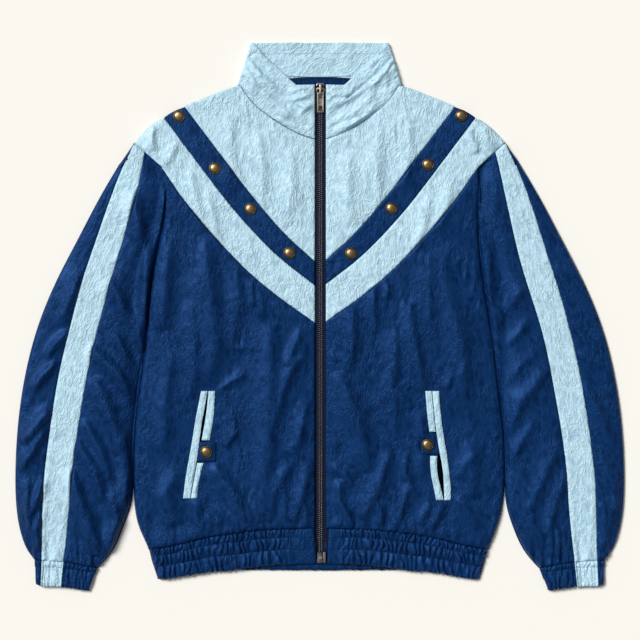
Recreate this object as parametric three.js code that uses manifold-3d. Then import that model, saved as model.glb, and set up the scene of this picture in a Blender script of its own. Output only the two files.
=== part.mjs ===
// A windbreaker jacket that lies flat on its back, zipped up, with its front upward.
// Millimetres. +X is the wearer's left, +Y is toward the collar and +Z is up from the surface.
// Shapes are worked out for the left half, with x as the distance from the middle, and mirrored.
import * as THREE from 'three';
import Module from 'manifold-3d';

const wasm = await Module();
wasm.setup();

// Driving dimensions
const backCloth = 2.5;         // back panel with its lining, lying on the surface
const cloth = 2.8;             // front and sleeve cloth with its lining
const seamGap = 0.3;           // room between two pieces sewn together
const restTop = 7.3;           // usual height of the upper layer's face
const lowTop = 5.7;
const highTop = 9.2;
const edgeRound = 9;           // width over which a side edge rounds down
const footHeight = 0.3;        // the rounded edge ends just above the surface
const edgeInset = 4.4;         // the lower layer stops this far inside a rounded edge
const armholeTop = 190;        // height on the body where the side edge starts to round down
const armholeFoot = 150;
const freeFrom = 150;          // columns nearer the middle than this keep their place

const zipCentre = 1;
const zipHalf = 8;             // half the width of zip that shows between the fronts
const tapeHalf = 14;
const tapeThick = 0.8;
const chainHalf = 2.6;
const chainThick = 2.4;
const zipTop = 324;
const zipFoot = -350;

const welt = 1.6;              // thickness of a pocket's welts and tab
const snapRadius = 8.5;
const hemWaves = 25;           // gathers on each half of the hem band
const cuffWaves = 12;
const gather = 0.9;            // height of a gather above and below its middle

// Where the body ends at each side, from the hem band up to the shoulder
const bodySide = [
  { y: -373, right: 231, left: 228 },
  { y: -346, right: 240, left: 236 },
  { y: -329, right: 244, left: 241 },
  { y: -317, right: 253, left: 248 },
  { y: -289, right: 262, left: 257 },
  { y: -261, right: 265, left: 263 },
  { y: -204, right: 265, left: 264 },
  { y: -161, right: 263, left: 262 },
  { y: -119, right: 259, left: 257 },
  { y: -76, right: 253, left: 252 },
  { y: -33, right: 247, left: 247 },
  { y: 9, right: 244, left: 240 },
  { y: 52, right: 240, left: 233 },
  { y: 94, right: 231, left: 228 },
  { y: 137, right: 222, left: 226 },
  { y: 165, right: 219, left: 226 },
  { y: 187, right: 220, left: 226 },
  { y: 208, right: 223, left: 225 },
  { y: 243, right: 226, left: 221 },
  { y: 265, right: 225, left: 220 },
  { y: 282, right: 222, left: 222 },
];

// Seams of the two chevron strips
const chevron = [
  { x: 7, darkTop: 78.5, darkLow: 44, lightLow: -9 },
  { x: 14, darkTop: 85, darkLow: 50, lightLow: -3.5 },
  { x: 43, darkTop: 110.5, darkLow: 71.5, lightLow: 16.5 },
  { x: 71, darkTop: 141, darkLow: 96, lightLow: 37.5 },
  { x: 99, darkTop: 175, darkLow: 125.5, lightLow: 61.5 },
  { x: 128, darkTop: 212.5, darkLow: 158.5, lightLow: 90.5 },
  { x: 156, darkTop: 250.5, darkLow: 195, lightLow: 120.5 },
  { x: 185, darkTop: 289, darkLow: 233.5, lightLow: 155.5 },
  { x: 193, darkTop: 299.5, darkLow: 244, lightLow: 165.5 },
  { x: 213, darkTop: 326, darkLow: 271, lightLow: 195 },
  { x: 226, darkTop: 342, darkLow: 287, lightLow: 214.5 },
];

// Neck seam of the front, then the shoulder line
const topEdge = [
  { x: 7, y: 251.5 },
  { x: 24, y: 256 },
  { x: 42, y: 265 },
  { x: 60, y: 275.5 },
  { x: 78, y: 288 },
  { x: 95, y: 302 },
  { x: 107, y: 318 },
  { x: 113, y: 328 },
  { x: 130, y: 324 },
  { x: 150, y: 316 },
  { x: 172, y: 307 },
  { x: 191.5, y: 299 },
  { x: 207, y: 292.5 },
  { x: 222, y: 282 },
];

const hemSeam = [
  { x: 4, y: -301 },
  { x: 59, y: -301 },
  { x: 86, y: -303 },
  { x: 111, y: -306 },
  { x: 153, y: -311.5 },
  { x: 183, y: -318.5 },
  { x: 203, y: -323.5 },
  { x: 227, y: -328.5 },
  { x: 262, y: -329 },
];

const hemFoot = [
  { x: 4, y: -350.5 },
  { x: 41, y: -352 },
  { x: 64, y: -353.5 },
  { x: 95, y: -356.5 },
  { x: 123, y: -360.5 },
  { x: 159, y: -363.5 },
  { x: 190, y: -368.5 },
  { x: 222, y: -373 },
  { x: 262, y: -373 },
];

// The collar's front half, from the zip to the fold at the side of the neck
const collarFront = [
  { seamX: 8, seamY: 251.8, topX: 8, topY: 329 },
  { seamX: 24, seamY: 256, topX: 22, topY: 328.5 },
  { seamX: 42, seamY: 265, topX: 34, topY: 328.5 },
  { seamX: 60, seamY: 275.5, topX: 42, topY: 335 },
  { seamX: 78, seamY: 288, topX: 54, topY: 348 },
  { seamX: 95, seamY: 302, topX: 68, topY: 360 },
  { seamX: 107, seamY: 318, topX: 81, topY: 372 },
  { seamX: 113, seamY: 328, topX: 94, topY: 388.5 },
];

// Sections across a sleeve, from the shoulder to the cuff seam. in and out are its two edges,
// and the stripe's edges are parts of the way across from the outer edge.
const sleeve = [
  { outX: 226, outY: 281, inY: 277, stripeOut: 0, stripeIn: 0.37 },
  { outX: 234, outY: 276, inY: 260, stripeOut: 0, stripeIn: 0.37 },
  { outX: 247, outY: 266, inY: 239, stripeOut: 0, stripeIn: 0.37 },
  { outX: 264, outY: 247, inY: 212, stripeOut: 0.02, stripeIn: 0.37 },
  { outX: 281.5, outY: 222, inY: 180, stripeOut: 0.07, stripeIn: 0.45 },
  { outX: 298.5, outY: 194, inY: 155.5, stripeOut: 0.12, stripeIn: 0.495 },
  { outX: 315, outY: 165.5, inY: 131.5, stripeOut: 0.165, stripeIn: 0.52 },
  { outX: 344.5, outY: 108.5, inY: 74.5, stripeOut: 0.225, stripeIn: 0.55 },
  { outX: 374, outY: 52, inY: 20.5, stripeOut: 0.265, stripeIn: 0.558 },
  { outX: 398, outY: -5, inY: -30.5, stripeOut: 0.295, stripeIn: 0.546 },
  { outX: 414.5, outY: -62, inY: -81.5, stripeOut: 0.293, stripeIn: 0.54 },
  { outX: 425, outY: -118.5, inY: -135.5, stripeOut: 0.29, stripeIn: 0.53 },
  { outX: 431, outY: -175.5, inY: -189.5, stripeOut: 0.275, stripeIn: 0.507 },
  { outX: 433, outY: -232, inY: -242, stripeOut: 0.245, stripeIn: 0.478 },
  { outX: 431.5, outY: -275, inY: -280.5, stripeOut: 0.24, stripeIn: 0.476 },
  { outX: 425.5, outY: -310, inY: -314.5, stripeOut: 0.222, stripeIn: 0.472 },
  { outX: 416, outY: -332, inY: -341, stripeOut: 0.185, stripeIn: 0.466 },
  { outX: 405.5, outY: -346, inY: -357.5, stripeOut: 0.12, stripeIn: 0.47 },
];
const capRow = 3;              // the shoulder cap ends at this section of the sleeve
const cuffRow = sleeve.length - 1;

// How far the sleeve's inner edge has left the body's side
const sleeveFlare = [
  { y: -392, away: 98 },
  { y: -358, away: 80 },
  { y: -346, away: 65 },
  { y: -317, away: 34 },
  { y: -289, away: 14 },
  { y: -275, away: 6 },
  { y: -261, away: 0 },
];

// Cuff: from its seam to its free edge, at places across from the outer edge to the inner edge
const cuffDrop = [
  { across: 0, right: -1, down: 33.5 },
  { across: 0.12, right: 1.5, down: 36 },
  { across: 0.47, right: 3.5, down: 35 },
  { across: 0.72, right: 6, down: 34.5 },
  { across: 1, right: 12, down: 31.5 },
];
const cuffBow = 3;             // the cuff seam bows up by this in the middle

// Largest folds of the front: middle, length along its run, half width, lean and height
const frontFolds = {
  right: [
    { x: 45, y: -150, length: 210, width: 16, lean: 2, height: 1.3 },
    { x: 85, y: -40, length: 190, width: 18, lean: -4, height: 1.0 },
    { x: 120, y: -190, length: 170, width: 18, lean: 3, height: 1.2 },
    { x: 158, y: 10, length: 170, width: 20, lean: 8, height: 1.3 },
    { x: 200, y: -80, length: 250, width: 22, lean: 10, height: 1.6 },
    { x: 225, y: -220, length: 150, width: 20, lean: 4, height: 1.2 },
    { x: 196, y: 120, length: 120, width: 18, lean: 20, height: 1.2 },
  ],
  left: [
    { x: 42, y: -120, length: 200, width: 17, lean: -2, height: 1.2 },
    { x: 80, y: -230, length: 130, width: 16, lean: 4, height: 1.1 },
    { x: 112, y: -30, length: 200, width: 20, lean: 5, height: 1.3 },
    { x: 150, y: -40, length: 150, width: 18, lean: 6, height: 1.0 },
    { x: 196, y: -60, length: 250, width: 22, lean: 12, height: 1.6 },
    { x: 226, y: -220, length: 150, width: 20, lean: 3, height: 1.2 },
    { x: 198, y: 140, length: 130, width: 18, lean: 18, height: 1.2 },
  ],
};

// Folds of a sleeve: place along it in sections, place across it, run, half widths and height
const sleeveFolds = [
  { row: 5.5, across: 0.72, long: 2.2, wide: 0.10, slant: 0.10, height: 1.4 },
  { row: 8.4, across: 0.80, long: 2.6, wide: 0.11, slant: 0.06, height: 1.5 },
  { row: 8.0, across: 0.12, long: 2.4, wide: 0.09, slant: -0.04, height: 1.2 },
  { row: 11.6, across: 0.70, long: 2.6, wide: 0.10, slant: 0.05, height: 1.4 },
  { row: 12.5, across: 0.13, long: 2.5, wide: 0.09, slant: 0.03, height: 1.2 },
  { row: 14.2, across: 0.82, long: 1.6, wide: 0.09, slant: -0.05, height: 1.3 },
  { row: 15.2, across: 0.62, long: 1.2, wide: 0.07, slant: 0.04, height: 1.0 },
];

// Pocket edges by height: the outer welt from edge to lip, the inner welt from mouth to back
const pockets = {
  right: {
    upper: [
      { y: -106, edge: 168, lip: 159.3, mouth: 157.6, back: 148.8 },
      { y: -128, edge: 172.3, lip: 163, mouth: 159.3, back: 149.3 },
      { y: -147, edge: 176, lip: 166.8, mouth: 162, back: 151.2 },
      { y: -175.5, edge: 180.5, lip: 170.6, mouth: 167.2, back: 156.3 },
    ],
    lower: [
      { y: -208, edge: 186.3, lip: 175, mouth: 173.6, back: 165 },
      { y: -228, edge: 190, lip: 179, mouth: 177.6, back: 170.7 },
      { y: -258, edge: 193.5, lip: 184, mouth: 182.6, back: 174.5 },
    ],
    tab: { top: -178, foot: -206, inner: 147.5 },
    snap: { x: 160.7, y: -192 },
  },
  left: {
    upper: [
      { y: -106, edge: 168.8, lip: 159.8, mouth: 158.4, back: 150 },
      { y: -128, edge: 170.5, lip: 162, mouth: 160.8, back: 151.8 },
      { y: -148, edge: 172.6, lip: 163.8, mouth: 162.4, back: 153.8 },
      { y: -163.5, edge: 174.5, lip: 165.6, mouth: 164.2, back: 155.8 },
    ],
    lower: [
      { y: -198, edge: 180.7, lip: 171, mouth: 166.5, back: 157 },
      { y: -211, edge: 182.5, lip: 174.4, mouth: 165.3, back: 156.5 },
      { y: -228, edge: 184.2, lip: 175.9, mouth: 167.4, back: 158.6 },
      { y: -246, edge: 186, lip: 176.6, mouth: 172.5, back: 162.6 },
      { y: -260.5, edge: 185.5, lip: 177, mouth: 175.6, back: 165.4 },
    ],
    tab: { top: -166, foot: -196, inner: 143.6 },
    snap: { x: 153.2, y: -182 },
  },
};

// Snaps on the dark chevron strip, from the shoulder down to the zip
const chevronSnaps = {
  right: [{ x: 199.8, y: 284.2 }, { x: 148.7, y: 210.2 }, { x: 98.3, y: 152.7 }, { x: 42.9, y: 90.2 }],
  left: [{ x: 201, y: 285 }, { x: 153.8, y: 215.5 }, { x: 102, y: 153.4 }, { x: 44.4, y: 89.5 }],
};

const sides = [{ name: 'right', sign: -1 }, { name: 'left', sign: 1 }];

// Materials
function finish(colour, roughness, metalness = 0) {
  const material = new THREE.MeshStandardMaterial({ roughness, metalness });
  material.color.setRGB(...colour.map((part) => part / 255), THREE.SRGBColorSpace);
  return material;
}
const navy = finish([17, 48, 91], 0.45);
const sky = finish([178, 209, 225], 0.45);
const tapeNavy = finish([36, 42, 62], 0.8);
const zipMetal = finish([96, 84, 76], 0.4, 0.9);
const brass = finish([135, 110, 70], 0.35, 0.95);

// Numbers
const clamp = (value, low, high) => Math.min(Math.max(value, low), high);
const mix = (from, to, part) => from + (to - from) * part;
const radians = (degrees) => degrees * Math.PI / 180;
const evenly = (count) => Array.from({ length: count + 1 }, (_, k) => k / count);

function ease(from, to, value) {
  const part = clamp((value - from) / (to - from), 0, 1);
  return part * part * (3 - 2 * part);
}

// Smooth curve through one column of a table, read at a value of another column
function read(table, at, column, value) {
  const last = table.length - 1;
  const key = (row) => (at === null ? row : table[row][at]);
  const place = clamp(value, key(0), key(last));
  let row = 0;
  while (row < last - 1 && place > key(row + 1)) row += 1;
  const slope = (middle) => {
    const before = Math.max(middle - 1, 0);
    const after = Math.min(middle + 1, last);
    return (table[after][column] - table[before][column]) / (key(after) - key(before));
  };
  const span = key(row + 1) - key(row);
  const t = (place - key(row)) / span;
  const start = table[row][column];
  const end = table[row + 1][column];
  return (2 * t ** 3 - 3 * t ** 2 + 1) * start + (t ** 3 - 2 * t ** 2 + t) * span * slope(row)
    + (3 * t ** 2 - 2 * t ** 3) * end + (t ** 3 - t ** 2) * span * slope(row + 1);
}

// Straight runs between the rows of a table
function trace(table, at, column, value) {
  let row = 0;
  while (row < table.length - 2 && value > table[row + 1][at]) row += 1;
  const part = (value - table[row][at]) / (table[row + 1][at] - table[row][at]);
  return mix(table[row][column], table[row + 1][column], clamp(part, 0, 1));
}

const jacket = new THREE.Group();

// A piece of cloth between two grids of points: its face and its lining side
class Cloth {
  constructor(across, along, facePoint, liningPoint) {
    this.across = across;
    this.along = along;
    const grid = (point) => along.map((v) => across.map((u) => point(u, v)));
    this.face = grid(facePoint);
    this.lining = grid(liningPoint);
  }

  geometry(sign) {
    const wide = this.across.length;
    const high = this.along.length;
    const layer = wide * high;
    const at = (i, j, side) => side * layer + j * wide + i;
    const triangles = [];
    const quad = (a, b, c, d) => triangles.push([a, b, c], [a, c, d]);
    for (let j = 0; j < high - 1; j += 1) {
      for (let i = 0; i < wide - 1; i += 1) {
        quad(at(i, j, 0), at(i + 1, j, 0), at(i + 1, j + 1, 0), at(i, j + 1, 0));
        quad(at(i, j, 1), at(i, j + 1, 1), at(i + 1, j + 1, 1), at(i + 1, j, 1));
      }
    }
    for (let i = 0; i < wide - 1; i += 1) {
      quad(at(i, 0, 1), at(i + 1, 0, 1), at(i + 1, 0, 0), at(i, 0, 0));
      quad(at(i, high - 1, 0), at(i + 1, high - 1, 0), at(i + 1, high - 1, 1), at(i, high - 1, 1));
    }
    for (let j = 0; j < high - 1; j += 1) {
      quad(at(0, j, 0), at(0, j + 1, 0), at(0, j + 1, 1), at(0, j, 1));
      quad(at(wide - 1, j, 1), at(wide - 1, j + 1, 1), at(wide - 1, j + 1, 0), at(wide - 1, j, 0));
    }
    const points = [...this.face, ...this.lining].flat();
    const geometry = new THREE.BufferGeometry();
    const places = points.flatMap(([x, y, z]) => [sign * x, y, z]);
    const order = triangles.flatMap(([a, b, c]) => (sign > 0 ? [a, b, c] : [a, c, b]));
    geometry.setAttribute('position', new THREE.Float32BufferAttribute(places, 3));
    geometry.setIndex(order);
    geometry.computeVertexNormals();
    return geometry;
  }

  // Height of the face at a place, read from the grid's own triangles
  heightAt(x, y) {
    for (let j = 0; j < this.along.length - 1; j += 1) {
      for (let i = 0; i < this.across.length - 1; i += 1) {
        const a = this.face[j][i];
        const b = this.face[j][i + 1];
        const c = this.face[j + 1][i + 1];
        const d = this.face[j + 1][i];
        const height = heightOn(a, b, c, x, y) ?? heightOn(a, c, d, x, y);
        if (height !== null) return height;
      }
    }
    return null;
  }
}

function heightOn(a, b, c, x, y) {
  const area = (b[0] - a[0]) * (c[1] - a[1]) - (c[0] - a[0]) * (b[1] - a[1]);
  const toB = ((x - a[0]) * (c[1] - a[1]) - (c[0] - a[0]) * (y - a[1])) / area;
  const toC = ((b[0] - a[0]) * (y - a[1]) - (x - a[0]) * (b[1] - a[1])) / area;
  const margin = -1e-6;
  if (toB < margin || toC < margin || toB + toC > 1 - margin) return null;
  return a[2] + toB * (b[2] - a[2]) + toC * (c[2] - a[2]);
}

function add(name, geometry, material) {
  const mesh = new THREE.Mesh(geometry, material);
  mesh.name = name;
  jacket.add(mesh);
  return mesh;
}

// Body

const zipEdge = (side) => zipHalf + side.sign * zipCentre;
const sideX = (side, y) => read(bodySide, 'y', side.name, y);
const roundedDown = (y) => 1 - ease(armholeFoot, armholeTop, y);
const nearHem = (y) => 1 - ease(-300, -260, y);
const lowerInset = (y) => 0.4 + edgeInset * Math.min(1, 2 * roundedDown(y)) + 1.4 * nearHem(y);

function foldHeight(side, x, y) {
  let height = 0;
  for (const fold of frontFolds[side.name]) {
    const turn = radians(fold.lean);
    const acrossFold = (x - fold.x) * Math.cos(turn) - (y - fold.y) * Math.sin(turn);
    const alongFold = (x - fold.x) * Math.sin(turn) + (y - fold.y) * Math.cos(turn);
    const bump = Math.exp(-((acrossFold / fold.width) ** 2));
    height += fold.height * bump * (1 - ease(0.25, 0.5, Math.abs(alongFold) / fold.length));
  }
  return height;
}

function frontTop(side, x, y) {
  const fromZip = ease(zipEdge(side), 40, x);
  const fromArmhole = ease(0, 40, sideX(side, y) - x);
  const swell = 0.7 * fromZip * fromArmhole;
  return clamp(restTop + swell + foldHeight(side, x, y) * fromArmhole * fromZip, lowTop, highTop);
}

// Columns across the front: its seams share them, so that both sides of a seam have equal corners
const bodyColumns = [24, 42, 60, 78, 95, 107, 113, 130, 150, 172, 191.5, 207, 220.5];
const lastColumn = 222;
const roundSteps = evenly(3);

function stretch(side, column, y, reach) {
  if (column <= freeFrom) return column;
  const room = sideX(side, y) - reach - freeFrom;
  return freeFrom + (column - freeFrom) * room / (lastColumn - freeFrom);
}

function onBody(side, column, part, lower, upper, reach) {
  let x = column;
  let y = 0;
  for (let pass = 0; pass < 6; pass += 1) {
    y = mix(lower(x), upper(x), part);
    x = stretch(side, column, y, reach);
  }
  return [x, y];
}

function bodyPiece(side, columns, rows, lower, upper) {
  const face = (column, part) => {
    const [x, y] = onBody(side, column, part, lower, upper, 0.2);
    return [x, y, frontTop(side, x, y)];
  };
  const lining = (column, part) => {
    const [x, y, z] = face(column, part);
    return [x, y, z - cloth];
  };
  return new Cloth(columns, evenly(rows), face, lining);
}

// The two rounded edges, body and sleeve, are one curve: d runs in from the edge
function roundEdge(step, top, thick, full) {
  const turn = step * Math.PI / 2;
  const flatIn = edgeRound * (1 - Math.sin(turn));
  const faceZ = footHeight + (top - footHeight) * Math.cos(turn);
  const liningIn = edgeRound - (edgeRound - thick) * Math.sin(turn);
  const liningZ = footHeight + (top - thick - footHeight) * Math.cos(turn);
  return {
    faceIn: flatIn,
    faceZ: mix(top, faceZ, full),
    liningIn: mix(flatIn, liningIn, full),
    liningZ: mix(top - thick, liningZ, full),
  };
}

const seamAbove = (curve) => (x) => curve(x) + seamGap;
const seamBelow = (curve) => (x) => curve(x) - seamGap;
const shoulder = (x) => trace(topEdge, 'x', 'y', x);
const darkTop = (x) => read(chevron, 'x', 'darkTop', x);
const darkLow = (x) => read(chevron, 'x', 'darkLow', x);
const lightLow = (x) => read(chevron, 'x', 'lightLow', x);
const hemLine = (x) => read(hemSeam, 'x', 'y', x);
const lowest = (a, b) => (x) => Math.min(a(x), b(x));

// A place on a rounded side edge, whose height on the body follows from its place across
function overEdge(side, [startX, startY], part, lower, upper, bendAt, lining) {
  let x = startX;
  let y = startY;
  for (let pass = 0; pass < 8; pass += 1) {
    const bend = bendAt(y);
    x = sideX(side, y) - 0.2 - (lining ? bend.liningIn : bend.faceIn);
    y = mix(lower(x), upper(x), part);
  }
  const bend = bendAt(y);
  return [x, y, lining ? bend.liningZ : bend.faceZ];
}

function makeFront(side) {
  const columns = [zipEdge(side), ...bodyColumns, ...roundSteps.map((step) => lastColumn + step)];
  const lower = seamAbove(hemLine);
  const upper = seamBelow(lightLow);
  const point = (column, part, lining) => {
    const flat = Math.min(column, lastColumn);
    const step = Math.max(column - lastColumn, 0);
    const [x, y] = onBody(side, flat, part, lower, upper, edgeRound);
    const top = frontTop(side, x, y);
    if (column < lastColumn) return [x, y, lining ? top - cloth : top];
    const bendAt = (height) => roundEdge(step, top, cloth, roundedDown(height));
    return overEdge(side, [x, y], part, lower, upper, bendAt, lining);
  };
  return new Cloth(columns, evenly(18), (u, v) => point(u, v, false), (u, v) => point(u, v, true));
}

// Back: one flat panel, with a neck cut and its sides inside the rounded edges
function makeBack() {
  const neckHalf = 112;
  const outline = [];
  for (const side of sides) {
    const run = [];
    const hemX = sideX(side, -331) - edgeInset;
    const heights = evenly(26).map((part) => mix(-331, 280, part));
    const hem = [60, 110, 153, 190, 225].map((x) => [x, hemLine(x) + 0.6]);
    run.push(...hem, [hemX, hemLine(hemX) + 0.6]);
    for (const y of heights.slice(1)) run.push([sideX(side, y) - lowerInset(y), y]);
    for (const x of [207, 191.5, 172, 150, 130, 117]) run.push([x, shoulder(x) - 0.3]);
    for (const part of backNeckParts.slice(0, 4)) {
      const y = collarBackFoot - 0.3 + collarBackRise * Math.sin(part * Math.PI);
      run.push([mix(neckHalf, 0, 2 * part), y]);
    }
    const placed = run.map(([x, y]) => new THREE.Vector2(side.sign * x, y));
    outline.push(...(side.sign < 0 ? placed.reverse() : placed));
  }
  const panel = new THREE.Shape(outline);
  return new THREE.ExtrudeGeometry(panel, { depth: backCloth, bevelEnabled: false });
}

// Collar: one standing band, folded flat at both sides of the neck

const collarCloth = 3;
const collarTop = 9.6;
const collarBackFoot = 328;
const collarBackRise = 13;     // the back neck seam rises by this in the middle
const collarBackTop = 388.86;
const backNeckParts = [0, 0.12, 0.3, 0.5, 0.7, 0.88, 1];

function collarHeight(part, rise) {
  const nearZip = 1 - ease(0, 0.5, part);
  return mix(restTop + 0.2, collarTop, rise * (0.4 + 0.6 * nearZip));
}

function collarPoint(sign, part, rise, lining) {
  const row = part * (collarFront.length - 1);
  const column = (name) => read(collarFront, null, name, row);
  const gapX = part === 0 ? 0 : 0.4 * part;
  const x = mix(column('seamX') - gapX, column('topX'), rise);
  const y = mix(column('seamY') + 0.5, column('topY'), rise);
  const height = collarHeight(part, rise);
  const middle = zipCentre * (1 - part);
  return [sign * x + middle, y, lining ? height - collarCloth : height];
}

function makeCollar() {
  const steps = collarFront.length - 1;
  const points = [];
  const front = evenly(steps);
  const fold = [0.25, 0.5, 0.75];
  const foldPoint = (sign, turn, rise, lining) => {
    const start = collarPoint(sign, 1, rise, lining);
    const angle = turn * Math.PI;
    const half = start[2] / 2 + (lining ? collarCloth / 2 : 0);
    const reach = lining ? 1.6 : 1.6 + collarCloth;
    const depth = (start[2] - half);
    return [start[0] + sign * reach * Math.sin(angle), start[1], half + depth * Math.cos(angle)];
  };
  const backPoint = (part, rise, lining) => {
    const half = mix(112, 94, rise);
    const edge = mix(collarBackFoot + 0.9, collarBackTop, rise);
    const bow = mix(collarBackRise, 0.5, rise) * Math.sin(part * Math.PI);
    return [mix(half, -half, part), edge + bow, lining ? collarCloth : 0];
  };
  for (const part of front) points.push((rise, lining) => collarPoint(1, part, rise, lining));
  for (const turn of fold) points.push((rise, lining) => foldPoint(1, turn, rise, lining));
  for (const part of backNeckParts) points.push((rise, lining) => backPoint(part, rise, lining));
  for (const turn of [...fold].reverse()) points.push((rise, lining) => foldPoint(-1, turn, rise, lining));
  for (const part of [...front].reverse()) points.push((rise, lining) => collarPoint(-1, part, rise, lining));
  const along = evenly(5);
  const across = points.map((_, k) => k);
  const at = (lining) => (k, rise) => points[k](rise, lining);
  const band = new Cloth(across, along, at(false), at(true));
  return band.geometry(1);
}

// Hem band

function hemEnd(side, part) {
  const atSeam = side.sign < 0 ? 8 : 13;
  const atFoot = side.sign < 0 ? 4 : 11;
  return mix(atSeam, atFoot, part);
}

function makeHemFront(side) {
  const plain = side.sign < 0 ? 34 : 16;
  const count = 2 * hemWaves;
  const gathers = evenly(count).map((part) => 1 + part);
  const columns = [0, ...gathers, ...roundSteps.slice(1).map((step) => 2 + step)];
  const rows = evenly(6);
  const lower = (x) => read(hemFoot, 'x', 'y', x);
  const upper = (x) => hemLine(x) - seamGap;
  const point = (column, part, lining) => {
    const down = 1 - part;
    const inner = hemEnd(side, down);
    let y = mix(hemLine(150), -360, down);
    let x = inner;
    for (let pass = 0; pass < 5; pass += 1) {
      const edge = sideX(side, y) - edgeRound - 0.2;
      x = column <= 1 ? mix(inner, inner + plain, column) : mix(inner + plain, edge, Math.min(column - 1, 1));
      y = mix(lower(x), upper(x), part);
    }
    const wave = Math.round((column - 1) * count) % 2 === 0 ? -1 : 1;
    const gathered = column >= 1 && column <= 2 ? wave * gather : 0;
    const puff = 0.5 * Math.abs(Math.sin(3 * Math.PI * part));
    const top = restTop + 0.5 + gathered + puff;
    const thick = 2.4;
    if (column <= 2) return [x, y, lining ? top - thick : top];
    return overEdge(side, [x, y], part, lower, upper, () => roundEdge(column - 2, top, thick, 1), lining);
  };
  return new Cloth(columns, rows, (u, v) => point(u, v, false), (u, v) => point(u, v, true));
}

function makeHemBack() {
  const foot = (x) => mix(-361, -360, Math.abs(x) / 230);
  const half = (sign, y) => sideX(sign < 0 ? sides[0] : sides[1], y) - lowerInset(y);
  const columns = evenly(24).map((part) => 2 * part - 1);
  const point = (column, part, lining) => {
    let y = -330;
    let x = 0;
    for (let pass = 0; pass < 5; pass += 1) {
      x = column * half(Math.sign(column), y);
      y = mix(foot(x), hemLine(Math.abs(x)) - seamGap, part);
    }
    return [x, y, lining ? 0 : backCloth];
  };
  return new Cloth(columns, evenly(2), (u, v) => point(u, v, false), (u, v) => point(u, v, true));
}

// Sleeves: a tube pressed flat, in sections that lean across it

function sleeveEdges(side, row) {
  const inY = read(sleeve, null, 'inY', row);
  const away = trace(sleeveFlare, 'y', 'away', inY);
  const out = new THREE.Vector2(read(sleeve, null, 'outX', row), read(sleeve, null, 'outY', row));
  const inner = new THREE.Vector2(sideX(side, inY) + seamGap + away, inY);
  return { out, inner, width: out.distanceTo(inner) };
}

function sleeveTop(row, across) {
  let height = restTop + 0.9 * Math.sin(Math.PI * clamp(across, 0, 1)) * ease(0, 5, row);
  for (const fold of sleeveFolds) {
    const offset = row - fold.row;
    const middle = fold.across + fold.slant * offset;
    const bump = Math.exp(-(((across - middle) / fold.wide) ** 2));
    height += fold.height * bump * (1 - ease(0.5, 1, Math.abs(offset) / fold.long));
  }
  return clamp(height, lowTop, highTop);
}

// A point of a sleeve's upper layer, at a distance from its outer edge
function sleevePoint(side, row, inward, z) {
  const { out, inner, width } = sleeveEdges(side, row);
  const place = out.clone().lerp(inner, inward / width);
  const bow = cuffBow * ease(cuffRow - 4, cuffRow, row) * Math.sin(Math.PI * inward / width);
  return [place.x, place.y + bow, z];
}

function makeStripe(side, rows) {
  const point = (part, row, lining) => {
    const { width } = sleeveEdges(side, row);
    const from = read(sleeve, null, 'stripeOut', row) * width + seamGap / 2;
    const to = read(sleeve, null, 'stripeIn', row) * width - seamGap / 2;
    const inward = mix(from, to, part);
    const top = sleeveTop(row, inward / width);
    return sleevePoint(side, row, inward, lining ? top - cloth : top);
  };
  return sleeveCloth(outward(3), rows, point);
}

const outward = (count) => evenly(count).reverse();

// Stations run toward the outer edge and rows run down the sleeve
function sleeveCloth(across, rows, point) {
  const upward = [...rows].reverse();
  return new Cloth(across, upward, (u, v) => point(u, v, false), (u, v) => point(u, v, true));
}

function makeSleeveFront(side, rows) {
  const flat = 4;
  const columns = [...outward(3).slice(0, 3).map((step) => 1 + step), ...outward(flat)];
  const point = (column, row, lining) => {
    const { width, inner } = sleeveEdges(side, row);
    const full = roundedDown(inner.y);
    const from = read(sleeve, null, 'stripeIn', row) * width + seamGap / 2;
    const inward = mix(from, width - edgeRound, Math.min(column, 1));
    const top = sleeveTop(row, inward / width);
    if (column <= 1) return sleevePoint(side, row, inward, lining ? top - cloth : top);
    const bend = roundEdge(column - 1, mix(restTop, top, full), cloth, full);
    const fromEdge = lining ? bend.liningIn : bend.faceIn;
    return sleevePoint(side, row, width - fromEdge, lining ? bend.liningZ : bend.faceZ);
  };
  return sleeveCloth(columns, rows, point);
}

// The back of a sleeve runs from the stripe round the outer fold and on below, to the inner edge
function makeSleeveBack(side, rows) {
  const stations = [-2, -1, ...evenly(4), 1.5, 2];
  const point = (station, row, lining) => {
    const { width, inner } = sleeveEdges(side, row);
    const stripeOut = read(sleeve, null, 'stripeOut', row) * width - seamGap / 2;
    const round = clamp(stripeOut - 0.6, 3, edgeRound);
    const stop = width - lowerInset(inner.y) + 0.2;
    if (station < 0) {
      const inward = mix(Math.min(round, stripeOut - 0.4), stripeOut, -station / 2);
      const height = sleeveTop(row, inward / width);
      return sleevePoint(side, row, inward, lining ? height - cloth : height);
    }
    return foldedPoint(side, row, station, round, stop, sleeveTop(row, round / width), lining);
  };
  return sleeveCloth(stations, rows, point);
}

// Stations 0 to 1 turn round the outer fold, and 1 to 2 run back below to where the layer stops
function foldedPoint(side, row, station, round, stop, top, lining) {
  if (station > 1) return sleevePoint(side, row, mix(round, stop, station - 1), lining ? backCloth : 0);
  const turn = station * Math.PI;
  const reach = lining ? Math.max(round - cloth, 0.2) : round;
  const upper = lining ? top - cloth : top;
  const lower = lining ? backCloth : 0;
  const height = (upper + lower) / 2 + (upper - lower) / 2 * Math.cos(turn);
  return sleevePoint(side, row, round - reach * Math.sin(turn), height);
}

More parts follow.
